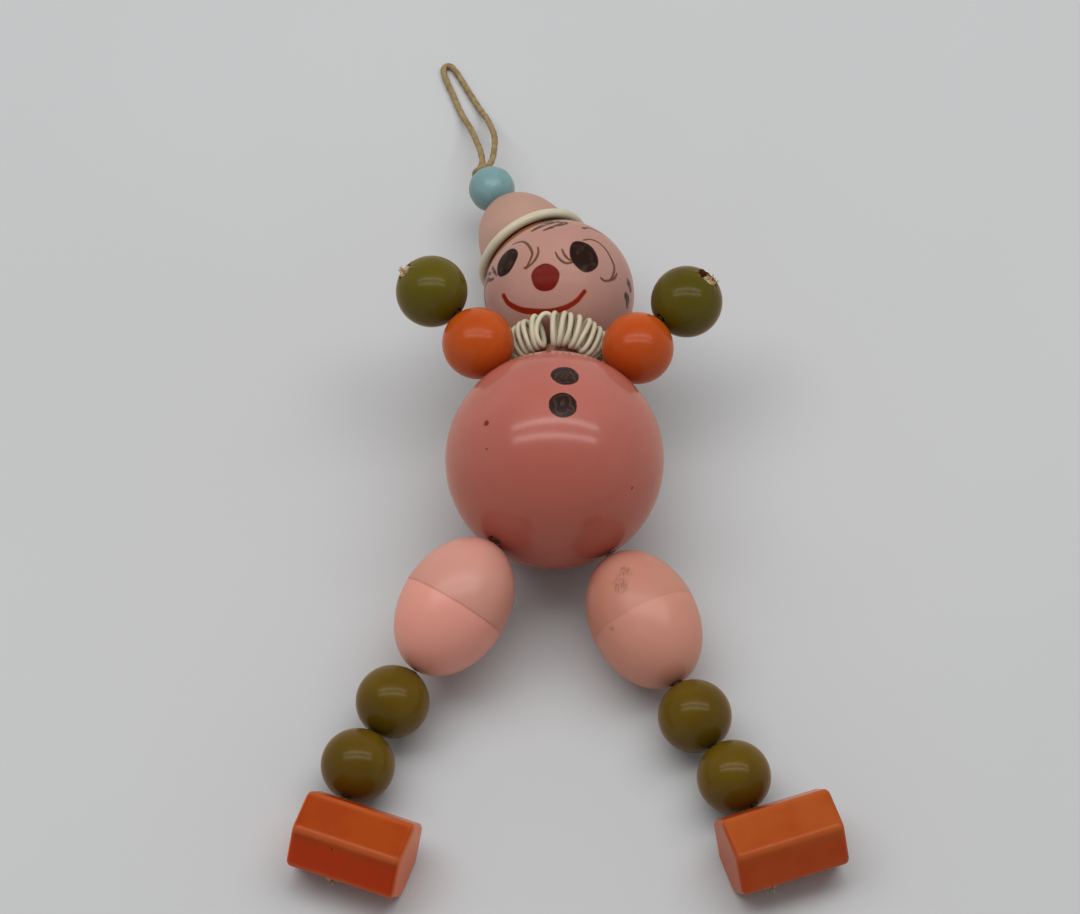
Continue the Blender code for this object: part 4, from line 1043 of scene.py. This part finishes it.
# Floor, light and background
table = {"half": 3.0, "mirrored": (0.62, 0.48, 0.41),  # what glossy plastic sees of it
         "colour": (0.56, 0.565, 0.57), "tone": (0.545, 0.55, 0.555), "cloud": 6.0, "grain": 300.0,
         "rough": 0.65, "wear": 0.1, "bump": 0.0, "ior": 1.4}
room = {"sky": (0.36, 0.36, 0.36), "ceiling": (0.07, 0.07, 0.07), "walls": (0.42, 0.41, 0.40),
        "wallTop": 0.95, "backdrop": (0.55, 0.555, 0.56)}
strips = {"across": (-0.13, 0.21), "height": 1.2, "long": 2.2, "wide": 0.1, "power": 3.4}  # the highlights
panel = {"place": (-0.05, 0.32, 1.2), "long": 2.2, "wide": 0.85, "power": 15.2}  # soft light from above


def areaLamp(name, place, aim, look):
    data = bpy.data.lights.new(name, "AREA")
    data.shape = "RECTANGLE"
    data.size, data.size_y = look["long"], look["wide"]
    data.energy = look["power"]
    lamp = bpy.data.objects.new(name, data)
    turn = (Vector(place) - Vector(aim)).to_track_quat("Z", "Y")
    lamp.matrix_world = Matrix.Translation(place) @ turn.to_matrix().to_4x4()
    scene.collection.objects.link(lamp)
    return lamp


def makeRoom():
    half = table["half"]
    mesh = bpy.data.meshes.new("floor")
    corners = [(-half, -half, 0), (half, -half, 0), (half, half, 0), (-half, half, 0)]
    mesh.from_pydata(corners, [], [(0, 1, 2, 3)])
    floor = bpy.data.objects.new("floor", mesh)
    scene.collection.objects.link(floor)

    def dimmed(tree, place, colour, rough):
        mirrored = tree.add("ShaderNodeLightPath", output="Is Glossy Ray")
        return colour.over(table["mirrored"], mirrored), rough

    mesh.materials.append(finish("paleTable", table, dimmed))
    for number, across in enumerate(strips["across"]):
        lamp = areaLamp(f"strip{number}", (0.0, across, strips["height"]), (0.0, across, 0.0), strips)
        lamp.visible_diffuse = False
    areaLamp("panel", panel["place"], (0.0, 0.0, 0.0), panel).visible_glossy = False
    world = bpy.data.worlds.new("softRoom")
    world.use_nodes = True
    world.cycles.sampling_method = "NONE"
    scene.world = world
    tree = Wire(world.node_tree.nodes)
    rays = tree.add("ShaderNodeLightPath")
    glossy = Wire(tree.nodes, rays.socket.node.outputs["Is Glossy Ray"])
    rise = tree.add("ShaderNodeTexCoord").along(up)
    mirrored = blend(tree, room["walls"], room["ceiling"], rise.step(0.0, room["wallTop"]))
    seen = mirrored.over(room["sky"], 1.0 - glossy).over(room["backdrop"], rays)
    tree.feed(world.node_tree.nodes["Background"].inputs["Color"], seen)
    scene.view_settings.view_transform = "Standard"


makeRoom()
print("room lit")
